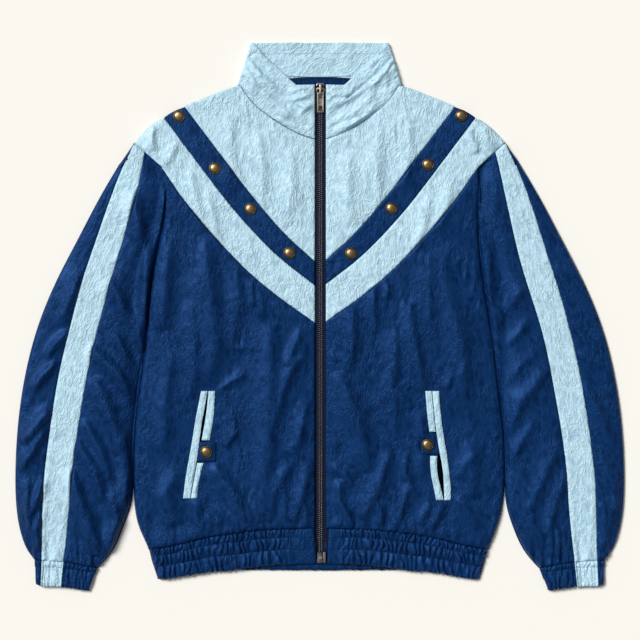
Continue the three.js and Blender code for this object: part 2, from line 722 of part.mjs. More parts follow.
// Shoulder cap: over the sleeve head, round the outer edge and back below
function makeCap(side) {
  const rows = [0.4, 0.9, 1.5, 2.2, capRow - 0.012];
  const stations = [...evenly(3).slice(0, 3).map((part) => part - 1), ...evenly(4), 1.5, 2];
  const point = (station, row, lining) => {
    const { width } = sleeveEdges(side, row);
    const round = Math.min(edgeRound, width * 0.4);
    const height = lining ? restTop - cloth : restTop;
    if (station < 0) return sleevePoint(side, row, mix(round, width, -station), height);
    return foldedPoint(side, row, station, round, width, restTop, lining);
  };
  return sleeveCloth(stations, rows, point);
}

// Cuffs

const cuffRound = 0.085;
const cuffStripeOut = 0.12;
const cuffStripeIn = 0.47;
const cuffCloth = 2.4;

// part is 0 at the cuff's free edge and 1 at its seam
function cuffPoint(side, across, part, z) {
  const { width } = sleeveEdges(side, cuffRow);
  const [x, y] = sleevePoint(side, cuffRow, across * width, z);
  const shift = read(cuffDrop, 'across', 'right', across) * (1 - part);
  const drop = read(cuffDrop, 'across', 'down', across) * (1 - part);
  return [x + shift, y - 1.2 * seamGap - drop, z];
}

function gathered(station, count) {
  return (Math.round(station * count) % 2 === 0 ? -1 : 1) * gather;
}

function cuffTop(part) {
  return restTop + 0.3 + 0.4 * Math.abs(Math.sin(2 * Math.PI * part));
}

// A dark cuff goes round the outer fold, below, round the inner fold and on top to the stripe
function makeCuff(side) {
  const count = 2 * Math.round(cuffWaves * (1 - cuffStripeIn));
  const ring = evenly(4);
  const gathers = evenly(count).slice(1).map((part) => 3 + part);
  const stations = [-1, ...ring, 1.5, ...ring.map((part) => 2 + part), ...gathers];
  const point = (station, part, lining) => {
    const top = cuffTop(part);
    const thick = lining ? cuffCloth : 0;
    if (station < 0) return cuffPoint(side, cuffStripeOut - 0.003, part, top - thick);
    if (station > 1 && station < 2) return cuffPoint(side, 0.5, part, thick);
    if (station > 3) {
      const across = mix(1 - cuffRound, cuffStripeIn + 0.003, station - 3);
      const wave = gathered(station - 3, count) * ease(3, 3.1, station);
      return cuffPoint(side, across, part, top - wave - thick);
    }
    const turn = (station > 1 ? 3 - station : station) * Math.PI;
    const reach = cuffRound * (lining ? 1 - cuffCloth / 8 : 1);
    const inward = cuffRound - reach * Math.sin(turn);
    const height = top / 2 + (top / 2 - thick) * Math.cos(turn);
    return cuffPoint(side, station > 1 ? 1 - inward : inward, part, height);
  };
  return new Cloth(stations, evenly(4), (u, v) => point(u, v, false), (u, v) => point(u, v, true));
}

function makeCuffStripe(side) {
  const count = 2 * Math.round(cuffWaves * cuffStripeIn);
  const point = (station, part, lining) => {
    const across = mix(cuffStripeIn - 0.003, cuffStripeOut + 0.003, station);
    const height = cuffTop(part) - gathered(station, count);
    return cuffPoint(side, across, part, lining ? height - cuffCloth : height);
  };
  return new Cloth(evenly(count), evenly(4), (u, v) => point(u, v, false), (u, v) => point(u, v, true));
}

// Pockets: welts and a tab that lie on the front and follow its face

function patchOn(surface, left, right, heights, columns) {
  const point = (part, y, raise) => {
    const x = mix(left(y), right(y), part);
    const crown = raise > 0 ? 0.25 * Math.sin(Math.PI * part) : 0;
    return [x, y, surface.heightAt(x, y) + 0.4 + raise + crown];
  };
  return new Cloth(evenly(columns), heights, (u, v) => point(u, v, welt), (u, v) => point(u, v, 0));
}

function makeWelt(surface, table, outer, inner) {
  const rising = [...table].reverse();
  const line = (column) => (y) => trace(rising, 'y', column, y);
  const count = Math.round((table[0].y - table.at(-1).y) / 14);
  const heights = evenly(count).map((part) => mix(rising[0].y, table[0].y, part));
  return patchOn(surface, line(inner), line(outer), heights, 2);
}

function makeTab(surface, pocket) {
  const rising = [...pocket.upper, ...pocket.lower].reverse();
  const lip = (y) => trace(rising, 'y', 'lip', y) - 0.5;
  const { top, foot, inner } = pocket.tab;
  return patchOn(surface, () => inner, lip, evenly(2).map((part) => mix(foot, top, part)), 2);
}

// Hard pieces

// Height and tilt of a disc that rests on a cloth's face
function seatOn(surface, x, y, radius) {
  const spots = [{ dx: 0, dy: 0 }];
  for (const part of evenly(16).slice(1)) {
    const turn = 2 * Math.PI * part;
    spots.push({ dx: radius * Math.cos(turn), dy: radius * Math.sin(turn) });
    spots.push({ dx: 0.5 * radius * Math.cos(turn), dy: 0.5 * radius * Math.sin(turn) });
  }
  const found = spots.map((spot) => ({ ...spot, z: surface.heightAt(x + spot.dx, y + spot.dy) }));
  const known = found.filter((spot) => spot.z !== null);
  const sum = (value) => known.reduce((total, spot) => total + value(spot), 0);
  const mean = sum((spot) => spot.z) / known.length;
  const slopeX = sum((spot) => (spot.z - mean) * spot.dx) / sum((spot) => spot.dx ** 2);
  const slopeY = sum((spot) => (spot.z - mean) * spot.dy) / sum((spot) => spot.dy ** 2);
  const above = known.map((spot) => spot.z - mean - slopeX * spot.dx - slopeY * spot.dy);
  return { z: mean + Math.max(...above) + seamGap, slopeX, slopeY };
}

function makeSnap() {
  const half = [[0, 0], [snapRadius, 0], [snapRadius, 0.8], [7.2, 1.2], [5.2, 2.3], [0, 3]];
  const profile = half.map(([radius, height]) => new THREE.Vector2(radius, height));
  return new THREE.LatheGeometry(profile, 14).rotateX(Math.PI / 2);
}

function addSnap(name, side, surface, { x, y }) {
  const seat = seatOn(surface, x, y, snapRadius);
  const normal = new THREE.Vector3(-side.sign * seat.slopeX, -seat.slopeY, 1).normalize();
  const snap = add(name, makeSnap(), brass);
  snap.position.set(side.sign * x, y, seat.z);
  snap.quaternion.setFromUnitVectors(new THREE.Vector3(0, 0, 1), normal);
}

function bar(x0, x1, y0, y1, z0, z1) {
  const geometry = new THREE.BoxGeometry(x1 - x0, y1 - y0, z1 - z0, 1, Math.ceil((y1 - y0) / 60), 1);
  return geometry.translate((x0 + x1) / 2, (y0 + y1) / 2, (z0 + z1) / 2);
}

const tapeFloor = 3.3;
const chainFace = tapeFloor + chainThick;
const sliderFloor = chainFace + seamGap;
const sliderThick = 1.2;
const hinge = { y: 323, z: sliderFloor + sliderThick + 1.6 };

function addZip() {
  for (const side of sides) {
    const near = zipCentre + side.sign * (chainHalf + seamGap);
    const far = zipCentre + side.sign * tapeHalf;
    const [from, to] = [Math.min(near, far), Math.max(near, far)];
    const tape = bar(from, to, zipFoot, zipTop + 4, tapeFloor, tapeFloor + tapeThick);
    add(`zip_tape_${side.name}`, tape, tapeNavy);
  }
  const left = zipCentre - chainHalf;
  const right = zipCentre + chainHalf;
  add('zip_chain', bar(left, right, zipFoot + 1, zipTop, tapeFloor, chainFace), zipMetal);
  const boxFloor = chainFace + seamGap;
  const box = bar(zipCentre - 4.4, zipCentre + 7.4, zipFoot, zipFoot + 15, boxFloor, boxFloor + 1.7);
  add('zip_retainer_box', box, zipMetal);
}

function solidOf(geometry) {
  const places = geometry.getAttribute('position');
  const known = new Map();
  const corners = [];
  const order = [];
  const index = geometry.index ? Array.from(geometry.index.array) : evenly(places.count - 1).map((_, k) => k);
  for (const k of index) {
    const corner = [places.getX(k), places.getY(k), places.getZ(k)];
    const key = corner.map((value) => value.toFixed(4)).join();
    if (!known.has(key)) known.set(key, corners.push(corner) - 1);
    order.push(known.get(key));
  }
  const mesh = new wasm.Mesh({
    numProp: 3,
    vertProperties: new Float32Array(corners.flat()),
    triVerts: new Uint32Array(order),
  });
  return new wasm.Manifold(mesh);
}

function geometryOf(solid) {
  const mesh = solid.getMesh();
  const geometry = new THREE.BufferGeometry();
  geometry.setAttribute('position', new THREE.BufferAttribute(new Float32Array(mesh.vertProperties), 3));
  geometry.setIndex(new THREE.BufferAttribute(new Uint32Array(mesh.triVerts), 1));
  geometry.computeVertexNormals();
  return geometry;
}

// Slider: a tapered plate on the chain, a post at its crown and the bridge that holds the pull
function makeSlider() {
  const crown = zipTop + 6;
  const tail = zipTop - 11;
  const outline = new THREE.Shape();
  outline.moveTo(-4.6, tail);
  outline.lineTo(4.6, tail);
  outline.lineTo(6.6, zipTop - 2);
  outline.quadraticCurveTo(7.2, crown, 3, crown);
  outline.lineTo(-3, crown);
  outline.quadraticCurveTo(-7.2, crown, -6.6, zipTop - 2);
  const plateCut = { depth: sliderThick, bevelEnabled: false, curveSegments: 4 };
  const plate = new THREE.ExtrudeGeometry(outline, plateCut);
  plate.translate(zipCentre, 0, sliderFloor);
  const post = bar(zipCentre - 1.4, zipCentre + 1.4, zipTop + 1, crown - 1, tapeFloor, sliderFloor + 0.5);
  const side = new THREE.Shape();
  const floor = sliderFloor + 0.4;
  side.moveTo(hinge.y - 8.5, floor);
  side.lineTo(hinge.y - 6.5, floor);
  side.lineTo(hinge.y - 5.5, hinge.z + 1.6);
  side.lineTo(hinge.y + 2.5, hinge.z + 1.6);
  side.lineTo(hinge.y + 3.5, floor);
  side.lineTo(hinge.y + 5.5, floor);
  side.lineTo(hinge.y + 4, hinge.z + 2.8);
  side.lineTo(hinge.y - 6.5, hinge.z + 2.8);
  const bridge = new THREE.ExtrudeGeometry(side, { depth: 2.4, bevelEnabled: false });
  const turn = new THREE.Matrix4().makeBasis(
    new THREE.Vector3(0, 1, 0), new THREE.Vector3(0, 0, 1), new THREE.Vector3(1, 0, 0));
  bridge.applyMatrix4(turn).translate(zipCentre - 1.2, 0, 0);
  return geometryOf(solidOf(plate).add(solidOf(post)).add(solidOf(bridge)));
}

// Pull: a flat tab whose bar turns under the bridge
function addPull() {
  const halfWide = 5.2;
  const shape = new THREE.Shape();
  shape.moveTo(-3.4, 1);
  shape.lineTo(-halfWide, -12);
  shape.lineTo(-halfWide, -31.5);
  shape.quadraticCurveTo(-halfWide, -33.5, -halfWide + 2, -33.5);
  shape.lineTo(halfWide - 2, -33.5);
  shape.quadraticCurveTo(halfWide, -33.5, halfWide, -31.5);
  shape.lineTo(halfWide, -12);
  shape.lineTo(3.4, 1);
  const window = (halfHole, foot, top) => {
    const hole = new THREE.Path();
    hole.moveTo(-halfHole, foot);
    hole.lineTo(-halfHole, top);
    hole.lineTo(halfHole, top);
    hole.lineTo(halfHole, foot);
    shape.holes.push(hole);
  };
  window(1.9, -10.5, -1);
  window(2.6, -30.2, -24);
  const plate = new THREE.ExtrudeGeometry(shape, { depth: 1.6, bevelEnabled: false, curveSegments: 3 });
  const pull = add('pull_tab', plate.translate(0, 0, -0.8), zipMetal);
  pull.position.set(zipCentre, hinge.y, hinge.z);
  pull.rotation.x = radians(3.2);
}

// Assembly

// A sleeve's sections meet the front's side edge at the front's own rows
function sleeveRows(front) {
  const rows = [capRow + 0.012];
  const heights = front.face.map((row) => row.at(-1)[1]).reverse();
  for (const height of heights) {
    let low = capRow;
    let high = cuffRow;
    for (let pass = 0; pass < 30; pass += 1) {
      const middle = (low + high) / 2;
      if (read(sleeve, null, 'inY', middle) > height) low = middle;
      else high = middle;
    }
    if (low > capRow + 0.3) rows.push(low);
  }
  return [...rows, (rows.at(-1) + cuffRow) / 2, cuffRow];
}

add('back', makeBack(), navy);
add('collar', makeCollar(), sky);
add('hem_back', makeHemBack().geometry(1), navy);

for (const side of sides) {
  const put = (name, piece, material) => add(`${name}_${side.name}`, piece.geometry(side.sign), material);
  const edge = zipEdge(side);
  const front = makeFront(side);
  const yokeColumns = [edge, ...bodyColumns.slice(0, 11)];
  const yoke = bodyPiece(side, yokeColumns, 9, seamAbove(darkTop), seamBelow(shoulder));
  const darkColumns = [edge, ...bodyColumns];
  const dark = bodyPiece(side, darkColumns, 3, seamAbove(darkLow), seamBelow(lowest(darkTop, shoulder)));
  const lightColumns = [...darkColumns, lastColumn];
  const light = bodyPiece(side, lightColumns, 4, seamAbove(lightLow), seamBelow(lowest(darkLow, shoulder)));
  put('front', front, navy);
  put('yoke', yoke, sky);
  put('chevron_dark', dark, navy);
  put('chevron_light', light, sky);
  put('hem_front', makeHemFront(side), navy);

  const rows = sleeveRows(front);
  put('shoulder_cap', makeCap(side), sky);
  put('sleeve_stripe', makeStripe(side, rows), sky);
  put('sleeve_front', makeSleeveFront(side, rows), navy);
  put('sleeve_back', makeSleeveBack(side, rows), navy);
  put('cuff', makeCuff(side), navy);
  put('cuff_stripe', makeCuffStripe(side), sky);

  const pocket = pockets[side.name];
  const tab = makeTab(front, pocket);
  const whole = [...pocket.upper, ...pocket.lower];
  put('pocket_welt_outer', makeWelt(front, whole, 'edge', 'lip'), sky);
  put('pocket_welt_upper', makeWelt(front, pocket.upper, 'mouth', 'back'), sky);
  put('pocket_welt_lower', makeWelt(front, pocket.lower, 'mouth', 'back'), sky);
  put('pocket_tab', tab, navy);
  addSnap(`pocket_snap_${side.name}`, side, tab, pocket.snap);
  chevronSnaps[side.name].forEach((place, k) => addSnap(`snap_${side.name}_${k + 1}`, side, dark, place));
}

addZip();
add('zip_slider', makeSlider(), zipMetal);
addPull();

export default jacket;
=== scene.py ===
import math

import bmesh
import bpy
import numpy as np
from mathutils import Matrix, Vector
from mathutils.kdtree import KDTree


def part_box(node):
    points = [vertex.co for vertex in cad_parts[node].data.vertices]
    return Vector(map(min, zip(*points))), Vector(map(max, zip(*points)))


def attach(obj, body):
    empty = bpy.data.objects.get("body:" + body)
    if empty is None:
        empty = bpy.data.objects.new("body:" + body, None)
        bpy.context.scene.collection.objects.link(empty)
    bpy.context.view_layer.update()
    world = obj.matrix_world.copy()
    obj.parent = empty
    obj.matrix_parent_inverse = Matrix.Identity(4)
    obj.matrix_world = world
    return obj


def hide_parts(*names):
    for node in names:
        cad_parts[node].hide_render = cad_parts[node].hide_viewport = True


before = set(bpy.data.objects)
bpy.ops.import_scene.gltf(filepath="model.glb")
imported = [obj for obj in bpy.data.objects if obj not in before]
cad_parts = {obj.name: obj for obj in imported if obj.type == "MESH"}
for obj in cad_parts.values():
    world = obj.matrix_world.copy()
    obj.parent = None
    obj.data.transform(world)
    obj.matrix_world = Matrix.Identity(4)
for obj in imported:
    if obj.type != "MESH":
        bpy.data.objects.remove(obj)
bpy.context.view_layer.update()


# Back panel: one piece of navy nylon with its lining, cut from the neck to the hem seam.
# It lies on the surface, so it is flat below apart from the shallow creases pressed into it,
# and only the strip inside the neck shows from above, its lining in a darker navy as painted shade.

MM = 0.001


def clear_choice():
    for thing in list(bpy.context.selected_objects):
        thing.select_set(False)


def choose(piece):
    """Selects only this piece and makes it active"""
    clear_choice()
    piece.select_set(True)
    bpy.context.view_layer.objects.active = piece


def copy_of(solid, name):
    """A new piece with the welded, four-sided mesh of one of the jacket's solids"""
    piece = bpy.data.objects.new(name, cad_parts[solid].data.copy())
    bpy.context.scene.collection.objects.link(piece)
    piece.data.materials.clear()
    choose(piece)
    bpy.ops.object.mode_set(mode="EDIT")
    bpy.ops.mesh.select_all(action="SELECT")
    bpy.ops.mesh.remove_doubles(threshold=0.02 * MM)
    bpy.ops.mesh.tris_convert_to_quads(face_threshold=math.radians(40), shape_threshold=math.radians(80))
    bpy.ops.object.mode_set(mode="OBJECT")
    return piece


def slice_at(axis, *levels):
    """Cuts all of the open piece across one axis at these levels, in millimetres"""
    for level in levels:
        place = [0, 0, 0]
        place[axis] = level * MM
        bpy.ops.mesh.select_all(action="SELECT")
        bpy.ops.mesh.bisect(plane_co=place, plane_no=[float(k == axis) for k in range(3)])


def modify(piece, kind, **settings):
    """Adds a modifier with these settings and applies it"""
    choose(piece)
    added = piece.modifiers.new(kind.lower(), kind)
    for setting, value in settings.items():
        setattr(added, setting, value)
    bpy.ops.object.modifier_apply(modifier=added.name)


def places_of(piece):
    """The piece's vertices in millimetres, as columns x, y and z"""
    places = np.empty(len(piece.data.vertices) * 3)
    piece.data.vertices.foreach_get("co", places)
    return (places / MM).reshape(-1, 3).T


def put_places(piece, x, y, z):
    piece.data.vertices.foreach_set("co", (np.column_stack([x, y, z]) * MM).ravel())
    piece.data.update()


def ease(low, high, value):
    part = np.clip((value - low) / (high - low), 0, 1)
    return part * part * (3 - 2 * part)


def wander(u, v, seed):
    """Smooth noise from about -1 to 1, which turns once in about a unit"""
    spin = np.random.default_rng(seed).uniform(0, 2 * math.pi, (64, 64))
    i = np.floor(u).astype(int)
    j = np.floor(v).astype(int)
    a = u - i
    b = v - j

    def pull(di, dj):
        turn = spin[(i + di) % 64, (j + dj) % 64]
        return np.cos(turn) * (a - di) + np.sin(turn) * (b - dj)

    across = a ** 3 * (a * (a * 6 - 15) + 10)
    along = b ** 3 * (b * (b * 6 - 15) + 10)
    low = pull(0, 0) * (1 - across) + pull(1, 0) * across
    high = pull(0, 1) * (1 - across) + pull(1, 1) * across
    return 1.5 * (low * (1 - along) + high * along)


def pressed(across, along):
    """Shallow creases of the cloth's underside, which rests on the surface between them"""
    u = across + 9 * wander(across / 50, along / 60, 21)
    v = along + 9 * wander(across / 55, along / 45, 22)
    long_crease = ease(0.45, 0.95, 1 - 2 * np.abs(wander(u / 55, v / 150, 23)))
    short_crease = ease(0.6, 1, 1 - 2 * np.abs(wander(u / 16, v / 40, 24)))
    return 1.3 * long_crease + 0.5 * short_crease


def underside_lift(across, along, z):
    """The creases of a cloth's underside, fading out above where it lies on the surface"""
    return pressed(across, along) * (1 - ease(0.05, 2.3, z))


def keep_grain(piece, grain=None):
    """Stores the cloth's own directions, across and along its threads, for its material"""
    x, y, z = places_of(piece)
    across, along = grain(x, y) if grain else (x, y)
    stored = piece.data.attributes.new("grain", "FLOAT_VECTOR", "POINT")
    stored.data.foreach_set("vector", (np.column_stack([across, along, z]) * MM).ravel())


def link(tree, source, target):
    tree.links.new(source, target)


def fill(tree, made, **inputs):
    """Sets a node's named inputs to values or joins them to sockets"""
    for name, value in inputs.items():
        target = made.inputs[name.replace("_", " ")]
        if isinstance(value, bpy.types.NodeSocket):
            link(tree, value, target)
        else:
            target.default_value = value
    return made


def node(tree, kind, **inputs):
    return fill(tree, tree.nodes.new("ShaderNode" + kind), **inputs)


def new_material(name):
    """A material, its node tree and its shader"""
    material = bpy.data.materials.new(name)
    material.use_nodes = True
    tree = material.node_tree
    return material, tree, tree.nodes["Principled BSDF"]


def maths(tree, operation, *values):
    """A Math node; its values are numbers or sockets"""
    made = tree.nodes.new("ShaderNodeMath")
    made.operation = operation
    for place, value in enumerate(values):
        if isinstance(value, bpy.types.NodeSocket):
            link(tree, value, made.inputs[place])
        else:
            made.inputs[place].default_value = value
    return made.outputs[0]


def new_group(name, inputs, outputs):
    """An empty node group with its sockets, and its input and output nodes"""
    group = bpy.data.node_groups.new(name, "ShaderNodeTree")
    for socket, kind, value in inputs:
        made = group.interface.new_socket(socket, in_out="INPUT", socket_type=kind)
        if value is not None:
            made.default_value = value
    for socket, kind in outputs:
        group.interface.new_socket(socket, in_out="OUTPUT", socket_type=kind)
    return group, group.nodes.new("NodeGroupInput"), group.nodes.new("NodeGroupOutput")


# The crinkle pressed into the nylon: thin crisp creases in two sizes along the grain, strong in some
# patches and faint in others, on gentle swells, and a fine weave
crinkle_group, crinkle_in, crinkle_out = new_group(
    "nylon crinkle",
    [("Grain", "NodeSocketVector", None), ("Crease length", "NodeSocketFloat", 0.03),
     ("Smooth parts", "NodeSocketFloat", 0.3)],
    [("Height", "NodeSocketFloat"), ("Crest", "NodeSocketFloat"), ("Patches", "NodeSocketFloat")],
)
grain_in = crinkle_in.outputs["Grain"]
sway = node(crinkle_group, "TexNoise", Vector=grain_in, Scale=34.0, Detail=2.0)
swayed = node(crinkle_group, "VectorMath")
swayed.operation = "MULTIPLY_ADD"
link(crinkle_group, sway.outputs["Color"], swayed.inputs[0])
swayed.inputs[1].default_value = (0.014, 0.02, 0.004)
link(crinkle_group, grain_in, swayed.inputs[2])
stretch = node(crinkle_group, "Mapping", Vector=swayed.outputs[0], Scale=(1, 0.48, 1))
scale = maths(crinkle_group, "DIVIDE", 1.0, crinkle_in.outputs["Crease length"])


def crease_layer(times, detail, reach):
    """Folded noise: its broad crests, and thin lines of this reach along them"""
    layer_scale = maths(crinkle_group, "MULTIPLY", scale, times)
    noise = node(crinkle_group, "TexNoise", Vector=stretch.outputs[0], Scale=layer_scale, Detail=detail,
                 Roughness=0.5)
    folded = maths(crinkle_group, "ABSOLUTE", maths(crinkle_group, "SUBTRACT", noise.outputs[0], 0.5))
    crest = maths(crinkle_group, "SUBTRACT", 1.0, maths(crinkle_group, "MULTIPLY", folded, 4.0))
    line = node(crinkle_group, "MapRange", Value=folded, From_Max=reach, To_Min=1.0, To_Max=0.0)
    return crest, line.outputs[0]


crest, wide_line = crease_layer(2.2, 2.5, 0.07)
small_crest, thin_line = crease_layer(4.6, 1.5, 0.08)
patches = node(crinkle_group, "TexNoise", Vector=grain_in, Scale=21.0, Detail=2.5, Roughness=0.6)
strong = node(crinkle_group, "MapRange", Value=patches.outputs[0], From_Min=0.4, From_Max=0.62,
              To_Min=crinkle_in.outputs["Smooth parts"], To_Max=1.0)
weave = node(crinkle_group, "TexNoise", Vector=grain_in, Scale=1400.0, Detail=0.0)
lines = maths(crinkle_group, "ADD", maths(crinkle_group, "MULTIPLY", wide_line, 0.42),
              maths(crinkle_group, "MULTIPLY", thin_line, 0.4))
crests = maths(crinkle_group, "ADD", maths(crinkle_group, "MULTIPLY", crest, 0.5),
               maths(crinkle_group, "MULTIPLY", small_crest, 0.26))
creases = maths(crinkle_group, "MULTIPLY", maths(crinkle_group, "ADD", lines, crests), strong.outputs[0])
height = maths(crinkle_group, "ADD", creases, maths(crinkle_group, "MULTIPLY", weave.outputs[0], 0.012))
link(crinkle_group, height, crinkle_out.inputs["Height"])
link(crinkle_group, crest, crinkle_out.inputs["Crest"])
link(crinkle_group, patches.outputs[0], crinkle_out.inputs["Patches"])


def nylon(name, shade, usual, light, gloss, depth, smooth_parts, roughness, sheen):
    """Crinkled nylon: its colour is painted from shade in the creases to light on their crests"""
    material, tree, shader = new_material(name)
    grain = tree.nodes.new("ShaderNodeAttribute")
    grain.attribute_name = "grain"
    crinkle = tree.nodes.new("ShaderNodeGroup")
    crinkle.node_tree = crinkle_group
    link(tree, grain.outputs["Vector"], crinkle.inputs["Grain"])
    fill(tree, crinkle, Crease_length=0.02, Smooth_parts=smooth_parts)
    # The ramp paints shade into the creases and light onto their crests
    ramp = node(tree, "ValToRGB", Fac=crinkle.outputs["Crest"])
    ramp.color_ramp.elements[0].color = (*shade, 1)
    ramp.color_ramp.elements[0].position = 0.25
    ramp.color_ramp.elements[1].color = (*light, 1)
    ramp.color_ramp.elements[1].position = 1.0
    middle = ramp.color_ramp.elements.new(0.6)
    middle.color = (*usual, 1)
    link(tree, ramp.outputs[0], shader.inputs["Base Color"])
    rough = node(tree, "MapRange", Value=crinkle.outputs["Patches"], From_Min=0.3, From_Max=0.7,
                 To_Min=roughness - 0.06, To_Max=roughness + 0.07)
    link(tree, rough.outputs[0], shader.inputs["Roughness"])
    bump = node(tree, "Bump", Height=crinkle.outputs["Height"], Strength=1.0, Distance=depth)
    link(tree, bump.outputs[0], shader.inputs["Normal"])
    fill(tree, shader, Sheen_Weight=sheen, Sheen_Roughness=0.4, Specular_IOR_Level=0.5,
         Specular_Tint=(*gloss, 1), Sheen_Tint=(*gloss, 1))
    return material


navy_nylon = nylon("navy nylon", (0.0011, 0.0125, 0.056), (0.0018, 0.0195, 0.079), (0.0035, 0.027, 0.102),
                   (0.12, 0.34, 1.0), 0.0008, 0.1, 0.5, 0.03)


def dress(piece, material, slot, *nodes):
    """Gives a piece its finish, stands it for its solids and fixes it to the jacket"""
    piece.data.materials.append(material)
    choose(piece)
    bpy.ops.object.shade_smooth()
    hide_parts(*nodes)
    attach(piece, "jacket")


# A darker copy of the navy for the back's lining: painted shade for the shadow inside the neck
navy_lining_painted_shade = nylon("navy lining painted shade", (0.0006, 0.007, 0.033), (0.001, 0.011, 0.047), (0.0017, 0.015, 0.06),
                    (0.12, 0.34, 1.0), 0.0006, 0.22, 0.6, 0.0)

back_panel = copy_of("back", "back_panel")
bpy.ops.object.mode_set(mode="EDIT")
bpy.ops.mesh.select_all(action="SELECT")
bpy.ops.mesh.dissolve_limited(angle_limit=math.radians(5))
slice_at(0, *range(-270, 271, 9))
slice_at(1, *range(-333, 343, 9))
bpy.ops.object.mode_set(mode="OBJECT")
keep_grain(back_panel)
x, y, z = places_of(back_panel)
put_places(back_panel, x, y, z + underside_lift(x, y, z))
dress(back_panel, navy_nylon, "navy_nylon", "back")
# The upward faces, of which only the strip inside the neck shows, take the darker navy as painted shade
back_panel.data.materials.append(navy_lining_painted_shade)
for face in back_panel.data.polygons:
    face.material_index = int(face.normal.z > 0.5)


# Back hem band: a folded strip of navy nylon gathered over elastic, sewn to the foot of the back.
# It lies on the surface under the front band and shows as a thin dark edge below the zip.

HEM_ROWS = (0.42, 0.745)
HEM_PITCHES = (9.6, 8.0, 6.8)
CLOTH_LEVELS = 3


def band_edges(x, y, count):
    """The foot and the seam of a band: their y at a row of places along x"""
    edges = np.linspace(x.min(), x.max(), count + 1)
    column = np.clip(np.searchsorted(edges, x) - 1, 0, count - 1)
    filled = np.unique(column)
    foot = [y[column == k].min() for k in filled]
    seam = [y[column == k].max() for k in filled]
    return ((edges[:-1] + edges[1:]) / 2)[filled], foot, seam


def band_part(x, y, count=44):
    """How far up a band each place is, from 0 at its foot to 1 at its seam"""
    middles, foot, seam = band_edges(x, y, count)
    foot = np.interp(x, middles, foot)
    seam = np.interp(x, middles, seam)
    return np.clip((y - foot) / (seam - foot), 0, 1)


def gathers(x, part, rows, pitches, seed):
    """Height, from 0 to 1, of cloth gathered over elastic and held down along its rows of stitches"""
    edges = np.array([0, *rows, 1])
    band = np.searchsorted(rows, part)
    up = (part - edges[band]) / (edges[band + 1] - edges[band])
    pitch = np.array(pitches)[band]
    turn = (x / pitch + 0.8 * wander(x / (2.2 * pitch), 0.8 * up + 7 * band, seed)
            + 0.45 * (up - 0.5) * wander(x / 22, 3.0 * band + 0.5, seed + 1))
    ridge = np.abs(np.sin(np.pi * turn)) ** 0.55
    strength = 0.85 + 0.6 * wander(x / 9, band * 2 + 0.3, seed + 2)
    held = np.sin(np.pi * np.where(band == 0, 0.5 + 0.5 * up, up)) ** 0.4
    return ridge * strength * held


hem_back = copy_of("hem_back", "hem_back_band")
modify(hem_back, "SUBSURF", subdivision_type="SIMPLE", levels=CLOTH_LEVELS, render_levels=CLOTH_LEVELS)
x, y, z = places_of(hem_back)
part = band_part(x, y)
wave = gathers(x, part, HEM_ROWS, HEM_PITCHES, 31)
scallop = (wave - 0.5) * 1.8 * (1 - ease(0, 0.3, part))
put_places(hem_back, x, y + scallop, z + wave * np.where(z < 1, 1.0, 1.8))
keep_grain(hem_back)
dress(hem_back, navy_nylon, "navy_nylon", "hem_back")


# Fronts: a panel of navy nylon each side, from the chevron seam to the hem seam, sewn to the
# zip tape at the middle. Blousing over the elastic hem throws them into long upright folds,
# and each side edge rolls down to the surface.

